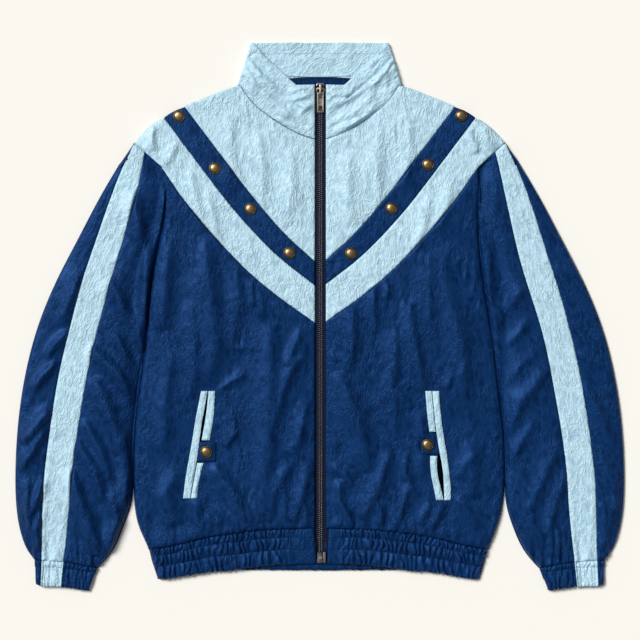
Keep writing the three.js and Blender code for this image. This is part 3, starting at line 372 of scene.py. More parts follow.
# Each fold: its half width, its rise and the run of its crest, in millimetres
FRONT_FOLDS = [
    (11, 3, [(-213, 114), (-217, 52), (-224, -19)]),
    (13, 3.4, [(-161, 114), (-157, 38), (-147, -40), (-159, -99)]),
    (9, 1.6, [(-184, 23), (-176, -40), (-181, -119)]),
    (5, 1.6, [(-96, 52), (-95, 12)]),
    (5, 1.3, [(-83, 38), (-82, 1)]),
    (11, 1.6, [(-119, 77), (-116, 23), (-122, -48)]),
    (13, 3.6, [(-68, -8), (-71, -90), (-73, -190), (-82, -292)]),
    (8, 2.4, [(-14, -48), (-36, -67), (-51, -102), (-68, -161)]),
    (7, 1.6, [(-28, -13), (-34, -40), (-48, -70)]),
    (9, 1.8, [(-19, -119), (-28, -175), (-42, -198)]),
    (9, 3.4, [(-12, -207), (-22, -246), (-38, -292)]),
    (8, 2.2, [(-39, -207), (-62, -241), (-71, -292)]),
    (11, 3.6, [(-150, -209), (-125, -249), (-99, -297)]),
    (5, 2, [(-173, -255), (-174, -283), (-164, -306)]),
    (4, 1.8, [(-160, -279), (-143, -296)]),
    (5, 1.8, [(-150, -268), (-119, -292), (-110, -306)]),
    (4, 1, [(-133, -261), (-116, -282)]),
    (10, 2.4, [(-201, -218), (-218, -253), (-201, -295)]),
    (5, 1.5, [(-112, -161), (-136, -185)]),
    (5, 1.2, [(-102, -79), (-125, -92), (-146, -110)]),
    (4, 0.9, [(-125, -48), (-105, -42), (-82, -46)]),
    (12, 2.2, [(-210, -48), (-218, -119), (-221, -192)]),
    (5, 1.1, [(-126, -130), (-119, -153), (-127, -175)]),
    (6, 1.5, [(-56, -218), (-48, -258), (-51, -295)]),
    (4, 1.6, [(-25, -258), (-17, -278), (-19, -297)]),
    (9, 2.8, [(46, 15), (47, -33), (40, -79)]),
    (12, 4, [(26, -79), (43, -119), (59, -167), (70, -221)]),
    (9, 3, [(100, -192), (83, -241), (60, -286)]),
    (6, 1.8, [(76, 46), (77, 15), (80, -22)]),
    (4, 1.2, [(97, 46), (97, 23)]),
    (9, 2.8, [(128, 23), (131, -19), (140, -70), (148, -107)]),
    (10, 1.6, [(108, -19), (103, -90), (108, -175)]),
    (4, 1.4, [(20, -36), (35, -42), (43, -50)]),
    (4, 1.2, [(12, -50), (26, -65)]),
    (5, 1.5, [(108, -102), (120, -116), (131, -130)]),
    (4, 1, [(120, -90), (131, -102)]),
    (5, 1.6, [(123, -192), (123, -224), (137, -258)]),
    (6, 2, [(128, -238), (117, -269), (111, -297)]),
    (5, 1.6, [(15, -209), (35, -224), (46, -241)]),
    (6, 2.2, [(29, -232), (29, -263), (49, -297)]),
    (4, 1.1, [(12, -175), (29, -184)]),
    (5, 2, [(159, -266), (142, -295)]),
    (5, 2, [(178, -263), (165, -289), (157, -303)]),
    (5, 1.3, [(188, -76), (179, -104)]),
    (14, 2.6, [(171, 94), (185, 23), (202, -48), (211, -119)]),
    (5, 1.1, [(208, -62), (202, -84), (208, -107)]),
    (6, 2, [(196, -252), (211, -278), (225, -300)]),
    (6, 1.4, [(228, -187), (208, -207), (196, -232)]),
    (11, 2, [(213, -175), (219, -218), (216, -261)]),
    (5, 1.8, [(80, -261), (88, -280), (86, -297)]),
    (11, 1.5, [(157, 94), (154, 23), (159, -33)]),
    (8, 1.5, [(142, -133), (148, -175), (145, -232)]),
]
SHOULDER_FOLDS = [
    (6, 2.2, [(-235, 272), (-237, 254), (-237, 236)]),
    (6, 1.4, [(-201, 251), (-211, 231), (-223, 211)]),
    (9, 1.6, [(-184, 208), (-176, 165), (-164, 120)]),
    (8, 1.4, [(-159, 180), (-150, 134), (-142, 94)]),
    (6, 1.4, [(233, 271), (239, 251), (246, 234)]),
    (6, 2.4, [(212, 268), (217, 250), (223, 231)]),
    (9, 1.6, [(188, 200), (179, 157), (171, 120)]),
    (8, 1.3, [(157, 171), (148, 129), (137, 92)]),
    (12, 1.4, [(-125, 290), (-127, 236), (-119, 180)]),
    (12, 1.6, [(-88, 265), (-82, 208), (-82, 151)]),
    (11, 1.4, [(-42, 236), (-39, 180), (-48, 129)]),
    (12, 1.4, [(125, 293), (128, 236), (120, 180)]),
    (12, 1.6, [(86, 265), (80, 208), (86, 151)]),
    (11, 1.4, [(43, 236), (40, 180), (46, 129)]),
]
BODY_FOLDS = FRONT_FOLDS + SHOULDER_FOLDS
HEM_SEAM = [(4, -301), (59, -301), (111, -306), (153, -311.5), (203, -323.5), (227, -328.5), (262, -329)]
SNAP_SPOTS = [(-199.8, 284.2), (-148.7, 210.2), (-98.3, 152.7), (-42.9, 90.2),
              (201, 285), (153.8, 215.5), (102, 153.4), (44.4, 89.5), (-160.7, -192), (153.2, -182)]


def fold_height(x, y, folds):
    """Height that the folds add. Each is broad on its lit side and steep on the other."""
    x = x + 1.8 * wander(x / 33, y / 40, 11) + 0.5 * wander(x / 9, y / 14, 13)
    y = y + 2.4 * wander(x / 36, y / 42, 12)
    total = np.zeros_like(x)
    for half_width, rise, run in folds:
        run = np.array(run, float)
        reach = 3 * half_width
        near = ((x > run[:, 0].min() - reach) & (x < run[:, 0].max() + reach)
                & (y > run[:, 1].min() - reach) & (y < run[:, 1].max() + reach))
        if not near.any():
            continue
        px, py = x[near], y[near]
        best = np.full(px.shape, 1e9)
        side = np.zeros_like(px)
        part = np.zeros_like(px)
        lengths = np.hypot(*np.diff(run, axis=0).T)
        before = np.concatenate([[0], np.cumsum(lengths)])
        for k, length in enumerate(lengths):
            step = (run[k + 1] - run[k]) / length
            rx, ry = px - run[k, 0], py - run[k, 1]
            along = np.clip(rx * step[0] + ry * step[1], 0, length)
            away = np.hypot(rx - along * step[0], ry - along * step[1])
            closer = away < best
            best = np.where(closer, away, best)
            side = np.where(closer, step[0] * ry - step[1] * rx, side)
            part = np.where(closer, (before[k] + along) / before[-1], part)
        half = np.where(side > 0, 0.75, 1.2) * half_width
        taper = np.clip(4 * part * (1 - part), 0, 1) ** 0.6
        total[near] += rise * taper * np.exp(-(best / half) ** 1.5)
    return total


def crinkle_height(across, along):
    """Height of the small creases pressed into the nylon along its grain"""
    u = across + 5 * wander(across / 23, along / 31, 3)
    v = along + 8 * wander(across / 29, along / 26, 4)
    broad = 1 - 2 * np.abs(wander(u / 13, v / 30, 5))
    small = 1 - 2 * np.abs(wander(u / 6, v / 14, 6))
    patch = 0.3 + 0.9 * ease(-0.3, 0.5, wander(across / 38, along / 48, 7))
    return patch * (0.75 * broad + 0.42 * small)


def hem_pull(x, y):
    """Short upright gathers where the front is drawn into the hem band"""
    above = y - np.interp(np.abs(x), *zip(*HEM_SEAM))
    spread = x + 5 * wander(x / 25, above / 30, 41) * ease(0, 40, above)
    sharp = 1 - 2 * np.abs(wander(spread / 9, above / 60, 42))
    wide = 1 - 2 * np.abs(wander(spread / 21, above / 90, 43))
    away = np.clip(above, 0, 500)
    return 2.8 * sharp * np.exp(-away / 12) + 3.4 * wide * np.exp(-away / 34) * ease(0, 7, above)


def held_flat(x, y):
    """1 on free cloth, falling to 0 under the snaps, which hold it flat"""
    free = np.ones_like(x)
    for sx, sy in SNAP_SPOTS:
        free *= ease(8, 19, np.hypot(x - sx, y - sy))
    return free


def soft_limit(height, most=8.5):
    return most * np.tanh(height / most)


def body_height(x, y):
    near_zip = ease(7, 24, np.abs(x - 1))
    free = held_flat(x, y) * (0.25 + 0.75 * near_zip)
    return free * soft_limit(3.4 * fold_height(x, y, BODY_FOLDS) + crinkle_height(x, y) + hem_pull(x, y))


def joined_faces(start, left):
    """The faces that edges join to a first one, taken out of those left"""
    island = {start}
    waiting = [start]
    while waiting:
        for edge in waiting.pop().edges:
            for other in edge.link_faces:
                if other in left:
                    left.discard(other)
                    island.add(other)
                    waiting.append(other)
    return island


def keep_face(piece, corner):
    """Leaves only the side of the cloth that shows, as one open sheet whose corners stay sharp"""
    sheet = bmesh.new()
    sheet.from_mesh(piece.data)
    rims = [edge for edge in sheet.edges
            if len(edge.link_faces) == 2 and edge.calc_face_angle() > math.radians(corner)]
    bmesh.ops.split_edges(sheet, edges=rims)
    best, most = set(), 0
    left = set(sheet.faces)
    while left:
        island = joined_faces(left.pop(), left)
        top = max(vert.co.z for face in island for vert in face.verts)
        worth = sum(face.calc_area() for face in island) * top
        if worth > most:
            best, most = island, worth
    bmesh.ops.delete(sheet, geom=[face for face in sheet.faces if face not in best], context="FACES")
    crease = sheet.verts.layers.float.new("crease_vert")
    for vert in sheet.verts:
        rim = [edge.other_vert(vert).co - vert.co for edge in vert.link_edges if edge.is_boundary]
        if len(rim) == 2 and rim[0].angle(rim[1], math.pi) < math.radians(145):
            vert[crease] = 1
    sheet.to_mesh(piece.data)
    sheet.free()


SEAM_EASE = 0.24


def spread_rim(piece):
    """Moves an open sheet's outline outward by half the seam's gap. Gives each point's distance from it"""
    sheet = bmesh.new()
    sheet.from_mesh(piece.data)
    outward = {}
    for edge in sheet.edges:
        if edge.is_boundary:
            first, second = edge.verts
            along = (second.co - first.co).normalized()
            away = first.co - edge.link_faces[0].calc_center_median()
            away -= away.dot(along) * along
            for vert in edge.verts:
                outward[vert] = outward.get(vert, Vector()) + away.normalized()
    tree = KDTree(len(outward))
    for place, (vert, way) in enumerate(outward.items()):
        vert.co += way.normalized() * SEAM_EASE * MM
        tree.insert(vert.co, place)
    tree.balance()
    distance = np.array([tree.find(vert.co)[2] for vert in sheet.verts]) / MM
    sheet.to_mesh(piece.data)
    sheet.free()
    return distance


def make_cloth(name, solid, thick, height, grain=None, corner=60, roll=0.5, shift=None,
               joined=None, upper_from=2.6, upper_to=5.2):
    """A thin shell of cloth on its solid's face, with its folds, creases and rolled seam edges"""
    piece = copy_of(solid, name)
    keep_face(piece, corner)
    modify(piece, "SUBSURF", levels=CLOTH_LEVELS, render_levels=CLOTH_LEVELS,
           boundary_smooth="PRESERVE_CORNERS")
    from_rim = spread_rim(piece)
    x, y, z = places_of(piece)
    across, along = grain(x, y) if grain else (x, y)
    upper = ease(upper_from, upper_to, z)
    near_rim = np.exp(-(from_rim / 1.8) ** 2)
    if joined:
        near_rim = near_rim * (1 - joined(x))
    seam = roll * near_rim
    held = 1 - 0.7 * near_rim
    lower = underside_lift(across, along, z)
    x_new, y_new = shift(x, y, z, from_rim) if shift else (x, y)
    put_places(piece, x_new, y_new, z + (held * height(x, y) - seam) * upper + lower)
    modify(piece, "SOLIDIFY", thickness=thick * MM, offset=-1, use_rim=True)
    x, y, z = places_of(piece)
    put_places(piece, x, y, np.maximum(z, 0))
    keep_grain(piece, grain)
    return piece


def lay(piece, material, slot, solid):
    dress(piece, material, slot, solid)


def bulge_over_hem(x, y, z, from_rim):
    """Puckers the front's foot, which blouses a little over the hem band's seam"""
    above = y - np.interp(np.abs(x), *zip(*HEM_SEAM))
    pucker = np.abs(np.sin(np.pi * (x / 6.8 + 0.6 * wander(x / 18, 0 * x + 0.4, 46)))) ** 0.8
    plain = ease(14, 40, np.abs(x))
    return x, y - 2.6 * pucker * plain * np.exp(-np.clip(above, 0, 500) / 5)


for side in ("right", "left"):
    front = make_cloth("front_panel_" + side, "front_" + side, 2.2, body_height, shift=bulge_over_hem)
    lay(front, navy_nylon, "navy_nylon", "front_" + side)


# Chevron and yoke: a navy strip and a sky-blue strip slope from each shoulder to the zip, with
# a sky-blue yoke above them. Their seams are joined edge to edge and pressed flat.

sky_nylon = nylon("sky nylon", (0.36, 0.56, 0.68), (0.435, 0.66, 0.785), (0.52, 0.745, 0.87),
                  (0.85, 0.95, 1.0), 0.001, 0.5, 0.5, 0.04)

CAP_SEAM = 225.0


def cap_seam(x):
    """1 at the short join of the light strip and the shoulder cap, which lies closed"""
    return np.exp(-((np.abs(x) - CAP_SEAM) / 8) ** 4)


def close_cap_seam(x, y, z, from_rim):
    """Laps the strip's short end over the shoulder cap, most where they meet at the outline"""
    lap = (cap_seam(x) * ease(221.5, 224, np.abs(x)) * np.exp(-(from_rim / 2) ** 2)
           * (0.7 + 2.6 * ease(264, 273, y)))
    return x + np.sign(x) * lap, y - 0.62 * lap


def lap_cap(x, y, z, from_rim):
    """Laps the shoulder cap's upper corner under the strip's short end"""
    lap = 2.8 * cap_seam(x) * np.exp(-(from_rim / 2) ** 2) * ease(264, 273, y)
    return x - np.sign(x) * lap, y + 0.62 * lap


for side in ("right", "left"):
    for strip, cut, material, slot in (("chevron_dark_", (56, 350), navy_nylon, "navy_nylon"),
                                       ("yoke_", (190, 250), sky_nylon, "sky_nylon")):
        panel = make_cloth(strip + "panel_" + side, strip + side, 2.2, body_height)
        lay(panel, material, slot, strip + side)
    panel = make_cloth("chevron_light_panel_" + side, "chevron_light_" + side, 2.2, body_height,
                       shift=close_cap_seam, joined=cap_seam)
    lay(panel, sky_nylon, "sky_nylon", "chevron_light_" + side)


# Collar: one stand collar of sky-blue nylon in two layers, folded flat at the sides of the neck,
# with a row of stitching along its top hem.

COLLAR_FOLDS = [
    (4, 1.2, [(-17, 324), (-31, 323), (-45, 319)]),
    (5, 1.4, [(-11, 313), (-28, 310), (-48, 309)]),
    (4, 1.3, [(-10, 302), (-24, 289), (-31, 285)]),
    (6, 1.5, [(-99, 361), (-82, 339), (-54, 316)]),
    (7, 2, [(-105, 350), (-88, 322), (-59, 299), (-31, 276)]),
    (4, 1.1, [(-34, 302), (-19, 296), (-11, 299)]),
    (5, 1.4, [(57, 322), (35, 313), (15, 316)]),
    (5, 1.5, [(63, 319), (37, 305), (12, 302)]),
    (7, 1.9, [(83, 305), (66, 285), (37, 268), (20, 263)]),
    (6, 1.4, [(77, 316), (52, 290), (29, 279)]),
    (4, 1, [(54, 330), (46, 324), (35, 330)]),
    (6, 1.4, [(103, 364), (88, 342), (69, 322)]),
    (4, 0.9, [(-71, 376), (-54, 364), (-34, 361)]),
    (4, 0.8, [(-28, 376), (-14, 361), (-17, 350)]),
    (4, 0.8, [(15, 370), (32, 356), (26, 346)]),
    (4, 0.9, [(43, 376), (63, 367), (52, 353)]),
]


def behind_neck(x, y):
    """How far a place lies inside the back of the collar, beyond the front leaves' edges"""
    return np.minimum(y - 336, 0.737 * (y - 336.8 - 0.918 * (np.abs(x) - 39.3)))


def diagonal_grain(x, y, start=300):
    """Threads at 45 degrees to the jacket's middle, counted from a start in millimetres"""
    return [math.sqrt(0.5) * values for values in (x - y + start, x + y + start)]


def collar_grain(x, y):
    """Creases slope down to the zip on the front leaves, and one way across the back"""
    inside = behind_neck(x, y) > 0
    leaf = diagonal_grain(np.abs(x), y, 0)
    return [np.where(inside, b, a) for a, b in zip(leaf, diagonal_grain(x, y))]


COLLAR_HEM = [(-38, 310.4), (-57, 326), (-76, 343.2), (-100, 368), (-96, 373.4), (-60, 374.5), (0, 374),
              (60, 374.5), (98, 373.4), (102, 368), (78, 343.2), (59, 326), (40, 310.4)]


def hem_dip(x, y):
    """Depth of the groove that the row of stitches pulls into the collar"""
    away = np.full_like(x, 1e9)
    for (ax, ay), (bx, by) in zip(COLLAR_HEM, COLLAR_HEM[1:]):
        part = ((x - ax) * (bx - ax) + (y - ay) * (by - ay)) / ((bx - ax) ** 2 + (by - ay) ** 2)
        part = np.clip(part, 0, 1)
        away = np.minimum(away, np.hypot(x - ax - part * (bx - ax), y - ay - part * (by - ay)))
    return np.exp(-(away / 2) ** 2)


def collar_height(x, y):
    free = 1 - np.exp(-(behind_neck(x, y) / 5) ** 2)
    creases = 3.0 * fold_height(x, y, COLLAR_FOLDS) + 2.2 * free * crinkle_height(*collar_grain(x, y))
    leaf_edge = np.exp(-((behind_neck(x, y) - 1.2) / 1.8) ** 2)
    return creases * (1 - 0.5 * hem_dip(x, y)) - 1.7 * hem_dip(x, y) - 1.8 * leaf_edge


collar = make_cloth("collar_band", "collar", 2.4, collar_height, diagonal_grain, upper_from=1.2,
                    upper_to=2.6)
lay(collar, sky_nylon, "sky_nylon", "collar")


def begin(name, primitive, **settings):
    """Adds a primitive at the origin and opens it for editing with all of it selected"""
    clear_choice()
    primitive(location=(0, 0, 0), **settings)
    piece = bpy.context.object
    piece.name = name
    bpy.ops.object.mode_set(mode="EDIT")
    bpy.ops.mesh.select_all(action="SELECT")
    return piece


def thread(name, colour):
    material, tree, shader = new_material(name)
    fill(tree, shader, Base_Color=(*colour, 1), Roughness=0.7, Specular_IOR_Level=0.15)
    return material


sky_thread = thread("sky thread", (0.36, 0.56, 0.66))
navy_thread = thread("navy thread", (0.002, 0.013, 0.05))

# One stitch: a short round length of thread with narrower ends
stitch = begin("stitch", bpy.ops.mesh.primitive_cylinder_add, vertices=6, radius=0.2 * MM, depth=2.2 * MM)
bpy.ops.transform.rotate(value=math.pi / 2, orient_axis="X", center_override=(0, 0, 0))
slice_at(1, 0.7, -0.7)
bpy.ops.object.mode_set(mode="OBJECT")
stitch_points = np.array([vert.co for vert in stitch.data.vertices])
stitch_points[:, [0, 2]] *= np.where(np.abs(stitch_points[:, 1:2]) > 0.8 * MM, 0.45, 1.0)
stitch_faces = [list(face.vertices) for face in stitch.data.polygons]
bpy.data.objects.remove(stitch)


def new_piece(name, points, faces):
    mesh = bpy.data.meshes.new(name)
    mesh.from_pydata(points, [], faces)
    piece = bpy.data.objects.new(name, mesh)
    bpy.context.scene.collection.objects.link(piece)
    return piece


def sew(name, runs, cloths, material, pitch=3.1):
    """Rows of stitches along runs of points, each stitch laid on the highest of the cloths"""
    points, faces = [], []
    for run in runs:
        run = np.array(run, float)
        lengths = np.hypot(*np.diff(run, axis=0).T)
        before = np.concatenate([[0], np.cumsum(lengths)])
        for step in np.arange(pitch / 2, before[-1], pitch):
            ends = [[np.interp(step + half, before, run[:, k]) for k in (0, 1)] for half in (-0.9, 0.9)]
            seats = []
            for px, py in ends:
                above = Vector((px * MM, py * MM, 0.05))
                hits = [cloth.ray_cast(above, Vector((0, 0, -1))) for cloth in cloths]
                hits = [place.z for found, place, normal, index in hits if found]
                if hits:
                    seats.append(Vector((px * MM, py * MM, max(hits) + 0.1 * MM)))
            if len(seats) < 2:
                continue
            way = (seats[1] - seats[0]).normalized()
            side = way.cross(Vector((0, 0, 1))).normalized()
            turn = np.array([side, way, side.cross(way)]).T
            middle = np.array((seats[0] + seats[1]) / 2)
            first = len(points)
            points.extend(stitch_points @ turn.T + middle)
            faces.extend([[first + corner for corner in face] for face in stitch_faces])
    rows = new_piece(name, points, faces)
    rows.data.materials.append(material)
    choose(rows)
    bpy.ops.object.shade_smooth()
    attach(rows, "jacket")


# A darker thread on the collar's hem row: painted shade for the groove the stitches sit in
collar_thread_painted_shade = thread("collar thread painted shade", (0.2, 0.33, 0.42))
sew("collar_stitches", [COLLAR_HEM], [collar], collar_thread_painted_shade)

# The piping that covers the seam inside the back of the neck
piping = begin("neck_piping", bpy.ops.mesh.primitive_cylinder_add, vertices=10, radius=0.75 * MM,
               depth=93 * MM)
bpy.ops.transform.rotate(value=math.pi / 2, orient_axis="Y", center_override=(0, 0, 0))
slice_at(0, *range(-42, 43, 6))
bpy.ops.object.mode_set(mode="OBJECT")
x, y, z = places_of(piping)
put_places(piping, x - 2.8, y + 341.2 + 1.6 * (x / 46) ** 2, z + 3.3)
piping.data.materials.append(sky_thread)
bpy.ops.object.shade_smooth()
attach(piping, "jacket")


# Sleeves: each has a sky-blue cap and stripe, a navy front part, and a navy back part that turns
# round the outer fold and runs back below. Its folds slope from the armhole and the stripe.

SLEEVE_FOLDS = SHOULDER_FOLDS[:2] + SHOULDER_FOLDS[4:6] + [
    (8, 3, [(-227, 200), (-218, 157), (-210, 114), (-204, 77)]),
    (10, 2.8, [(-268, 180), (-249, 109), (-244, 43), (-248, -19)]),
    (8, 2.6, [(-298, 52), (-267, -2), (-249, -50)]),
    (7, 1.7, [(-295, -19), (-272, -56), (-257, -90)]),
    (8, 2.6, [(-326, -40), (-286, -82), (-258, -121)]),
    (9, 2.2, [(-320, -87), (-298, -133), (-278, -192)]),
    (7, 1.6, [(-335, -147), (-312, -184), (-295, -232)]),
    (8, 2.2, [(-346, -175), (-320, -215), (-306, -261)]),
    (8, 2.8, [(-355, -215), (-335, -272), (-315, -329)]),
    (5, 1.8, [(-332, -289), (-315, -317), (-318, -340)]),
    (7, 1.8, [(-295, -246), (-286, -289), (-301, -334)]),
    (9, 1.6, [(-278, -161), (-272, -218), (-281, -275)]),
    (6, 1.6, [(-372, -62), (-391, -84), (-407, -107)]),
    (7, 2.2, [(-380, -130), (-400, -155), (-420, -178)]),
    (6, 1.8, [(-389, -161), (-406, -190), (-424, -218)]),
    (6, 1.8, [(-386, -232), (-400, -258), (-411, -283)]),
    (5, 1.6, [(-391, -272), (-400, -303), (-397, -334)]),
    (6, 1.4, [(-414, -232), (-414, -275), (-406, -317)]),
    (6, 1.1, [(-355, -19), (-374, -42), (-389, -59)]),
    (8, 1.2, [(-335, 66), (-355, 23), (-366, -13)]),
    (6, 2.4, [(223, 205), (225, 151), (226, 83)]),
    (10, 2.2, [(245, 180), (242, 94), (239, -5)]),
    (9, 3.2, [(290, 43), (267, 15), (248, -19)]),
    (4, 1.2, [(270, 29), (287, 38), (299, 40)]),
    (6, 1.6, [(301, -2), (279, -28), (259, -48)]),
    (9, 2.8, [(330, -67), (287, -121), (266, -170)]),
    (5, 1.2, [(313, -48), (284, -70), (270, -93)]),
    (7, 1.8, [(307, -147), (284, -181), (267, -212)]),
    (9, 2.2, [(341, -175), (319, -226), (296, -278)]),
    (7, 2.4, [(350, -218), (336, -261), (321, -312)]),
    (7, 1.8, [(296, -261), (304, -295), (319, -329)]),
    (4, 1.8, [(341, -300), (338, -343)]),
    (4, 1.4, [(327, -289), (330, -340)]),
    (6, 1.8, [(368, -50), (387, -65), (404, -70)]),
    (8, 2.2, [(375, -96), (398, -138), (418, -187)]),
    (7, 1.8, [(392, -187), (409, -215), (422, -246)]),
    (6, 1.8, [(401, -261), (407, -297), (401, -334)]),
    (8, 1, [(336, 146), (350, 103), (361, 52)]),
    (6, 1.2, [(421, -218), (421, -268), (409, -317)]),
]

# The middle line and the inner edge are curves fitted to y over this length, in millimetres
FIT_LENGTH = 300
SLEEVE_FOOT = -352
INNER_ROLL = 12

for side, sign, fold_gain in (("right", -1, 6.5), ("left", 1, 2.5)):
    x, y, _ = places_of(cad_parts["sleeve_stripe_" + side])
    middle = np.poly1d(np.polyfit(y / FIT_LENGTH, x, 5))
    x, y, _ = places_of(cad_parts["sleeve_front_" + side])
    inner_y, row_edges, _ = band_edges(y, np.abs(x), 40)
    inner_edge = np.poly1d(np.polyfit(inner_y / FIT_LENGTH, row_edges, 6))

    def beside_body(x, y, inner_y=inner_y, inner_edge=inner_edge):
        """1 at the sleeve's inner edge, falling to 0 away from it"""
        edge = inner_edge(np.clip(y, inner_y[0], inner_y[-1]) / FIT_LENGTH)
        return np.exp(-((np.abs(x) - edge) / INNER_ROLL) ** 2) * ease(-250, -200, y)

    def sleeve_grain(x, y, middle=middle):
        """Distance from the stripe's middle line, and distance along it"""
        slope = np.polyder(middle)(y / FIT_LENGTH) / FIT_LENGTH
        turn = 1 / np.sqrt(1 + slope ** 2)
        return (x - middle(y / FIT_LENGTH)) * turn, y / np.clip(turn, 0.5, 1)

    def sleeve_height(x, y, grain=sleeve_grain, beside_body=beside_body):
        across, along = grain(x, y)
        above = y - SLEEVE_FOOT
        drawn = (1 - 2 * np.abs(wander(across / 13, along / 90, 45))) * np.exp(-np.clip(above, 0, 500) / 30)
        folds = fold_gain * fold_height(x, y, SLEEVE_FOLDS) + 0.8 * crinkle_height(across,
             along) + 4.6 * drawn
        return soft_limit(folds * (1 - 0.6 * beside_body(x, y)), 10) - 4.5 * beside_body(x, y)

    cap = make_cloth("shoulder_cap_panel_" + side, "shoulder_cap_" + side, 2.2, body_height,
                     shift=lap_cap, joined=cap_seam)
    lay(cap, sky_nylon, "sky_nylon", "shoulder_cap_" + side)
    stripe = make_cloth("sleeve_stripe_panel_" + side, "sleeve_stripe_" + side, 2.2,
                        sleeve_height, sleeve_grain)
    lay(stripe, sky_nylon, "sky_nylon", "sleeve_stripe_" + side)

    def lean_on_body(x, y, z, from_rim, sign=sign, beside_body=beside_body):
        """Brings the sleeve's inner edge up to the body's side, most at its foot and under the arm"""
        under_arm = ease(90, 120, y) * beside_body(x, y) * np.exp(-(from_rim / 3) ** 2)
        return x - sign * (1.1 * (1 - ease(0.5, 4, z)) + 1.6 * under_arm), y

    inner = make_cloth("sleeve_front_panel_" + side, "sleeve_front_" + side, 2.2, sleeve_height, sleeve_grain,
                       shift=lean_on_body)
    lay(inner, navy_nylon, "navy_nylon", "sleeve_front_" + side)
    outer = make_cloth("sleeve_back_panel_" + side, "sleeve_back_" + side, 2.2, sleeve_height, sleeve_grain)
    lay(outer, navy_nylon, "navy_nylon", "sleeve_back_" + side)


# Cuffs: a band of nylon gathered over elastic closes each sleeve, navy all round apart from a
# sky-blue length where the stripe runs on. One row of stitches holds the elastic.

CUFF_ROWS = (0.76,)
CUFF_PITCHES = (7.8, 6.6)


def row_along(node_name, part, count):
    """A run of points at this part of a band's height, just inside its ends"""
    x, y, z = places_of(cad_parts[node_name])
    x, y = x[z > 3.5], y[z > 3.5]
    middles, foot, seam = band_edges(x, y, count)
    across = np.linspace(x.min() + 1.5, x.max() - 1.5, 3 * count)
    foot = np.interp(across, middles, foot)
    return list(zip(across, foot + part * (np.interp(across, middles, seam) - foot)))


for side in ("right", "left"):
    for part_name, node_name, material, slot, cut in (
            ("cuff_band_", "cuff_", navy_nylon, "navy_nylon", (160, 37)),
            ("cuff_stripe_band_", "cuff_stripe_", sky_nylon, "sky_nylon", (40, 37))):

        def cuff_wave(x, y):
            return gathers(x, band_part(x, y, 12), CUFF_ROWS, CUFF_PITCHES, 51)

        def cuff_height(x, y):
            return 2.8 * (cuff_wave(x, y) - 0.35)

        def cuff_scallop(x, y, z, from_rim):
            return x, y + (cuff_wave(x, y) - 0.5) * 1.6 * (1 - ease(0, 0.3, band_part(x, y, 12)))

        cuff = make_cloth(part_name + side, node_name + side, 1.8, cuff_height, corner=75, shift=cuff_scallop)
        lay(cuff, material, slot, node_name + side)
        thread_colour = sky_thread if slot == "sky_nylon" else navy_thread
        sew(part_name + side + "_stitches", [row_along(node_name + side, CUFF_ROWS[0], 8)], [cuff],
            thread_colour)


# Front hem bands: navy nylon gathered over elastic, held by two rows of stitches that part it
# into three puffed bands. The ends beside the zip are plain.

for side, plain in (("right", 40), ("left", 26)):

    def hem_wave(x, y, plain=plain):
        fullness = ease(plain - 6, plain + 18, np.abs(x))
        return fullness, fullness * gathers(x, band_part(x, y), HEM_ROWS, HEM_PITCHES, 61)

    def hem_height(x, y, hem_wave=hem_wave):
        fullness, wave = hem_wave(x, y)
        return 4.4 * (wave - 0.35 * fullness) + (1 - fullness) * crinkle_height(x, y)

    def hem_scallop(x, y, z, from_rim, hem_wave=hem_wave):
        fullness, wave = hem_wave(x, y)
        return x, y + (wave - 0.5 * fullness) * 2.0 * (1 - ease(0, 0.3, band_part(x, y)))

    hem = make_cloth("hem_front_band_" + side, "hem_front_" + side, 2.0, hem_height, corner=75,
                     shift=hem_scallop)
    lay(hem, navy_nylon, "navy_nylon", "hem_front_" + side)
    rows = [row_along("hem_front_" + side, part, 30) for part in HEM_ROWS]
    sew("hem_front_stitches_" + side, rows, [hem], navy_thread)


# Pockets: two sky-blue welts meet over each slanting mouth, the inner one in two lengths with a
# navy tab between them. They are sewn to the front and follow its face.

# Near-black with no gloss: painted shadow for the inside of the pocket mouths
pocket_lining_painted_shadow = thread("pocket lining painted shadow", (0.0006, 0.0018, 0.0045))
pocket_lining_painted_shadow.node_tree.nodes["Principled BSDF"].inputs["Specular IOR Level"].default_value = 0.0


LINING_ROWS = 50
LINING_COLUMNS = 7


def strip_rows(*names):
    """The levels of y on one or more upright strips, and the points at each"""
    places = np.concatenate([places_of(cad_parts[name]).T for name in names])
    levels = np.unique(places[:, 1].round(1))
    return levels, [places[np.abs(places[:, 1] - level) < 0.1] for level in levels]


def strip_line(*names):
    """The middle of one or more upright strips as x and lowest z for each y, in millimetres"""
    levels, rows = strip_rows(*names)
    return levels, np.array([row[:, 0].mean() for row in rows]), np.array([row[:, 2].min() for row in rows])


def strip_edges(node_name, inset):
    """Two upright runs of points just inside the long edges of a strip"""
    levels, rows = strip_rows(node_name)
    return [[(row[:, 0].min() + inset, level) for row, level in zip(rows, levels)],
            [(row[:, 0].max() - inset, level) for row, level in zip(rows, levels)]]


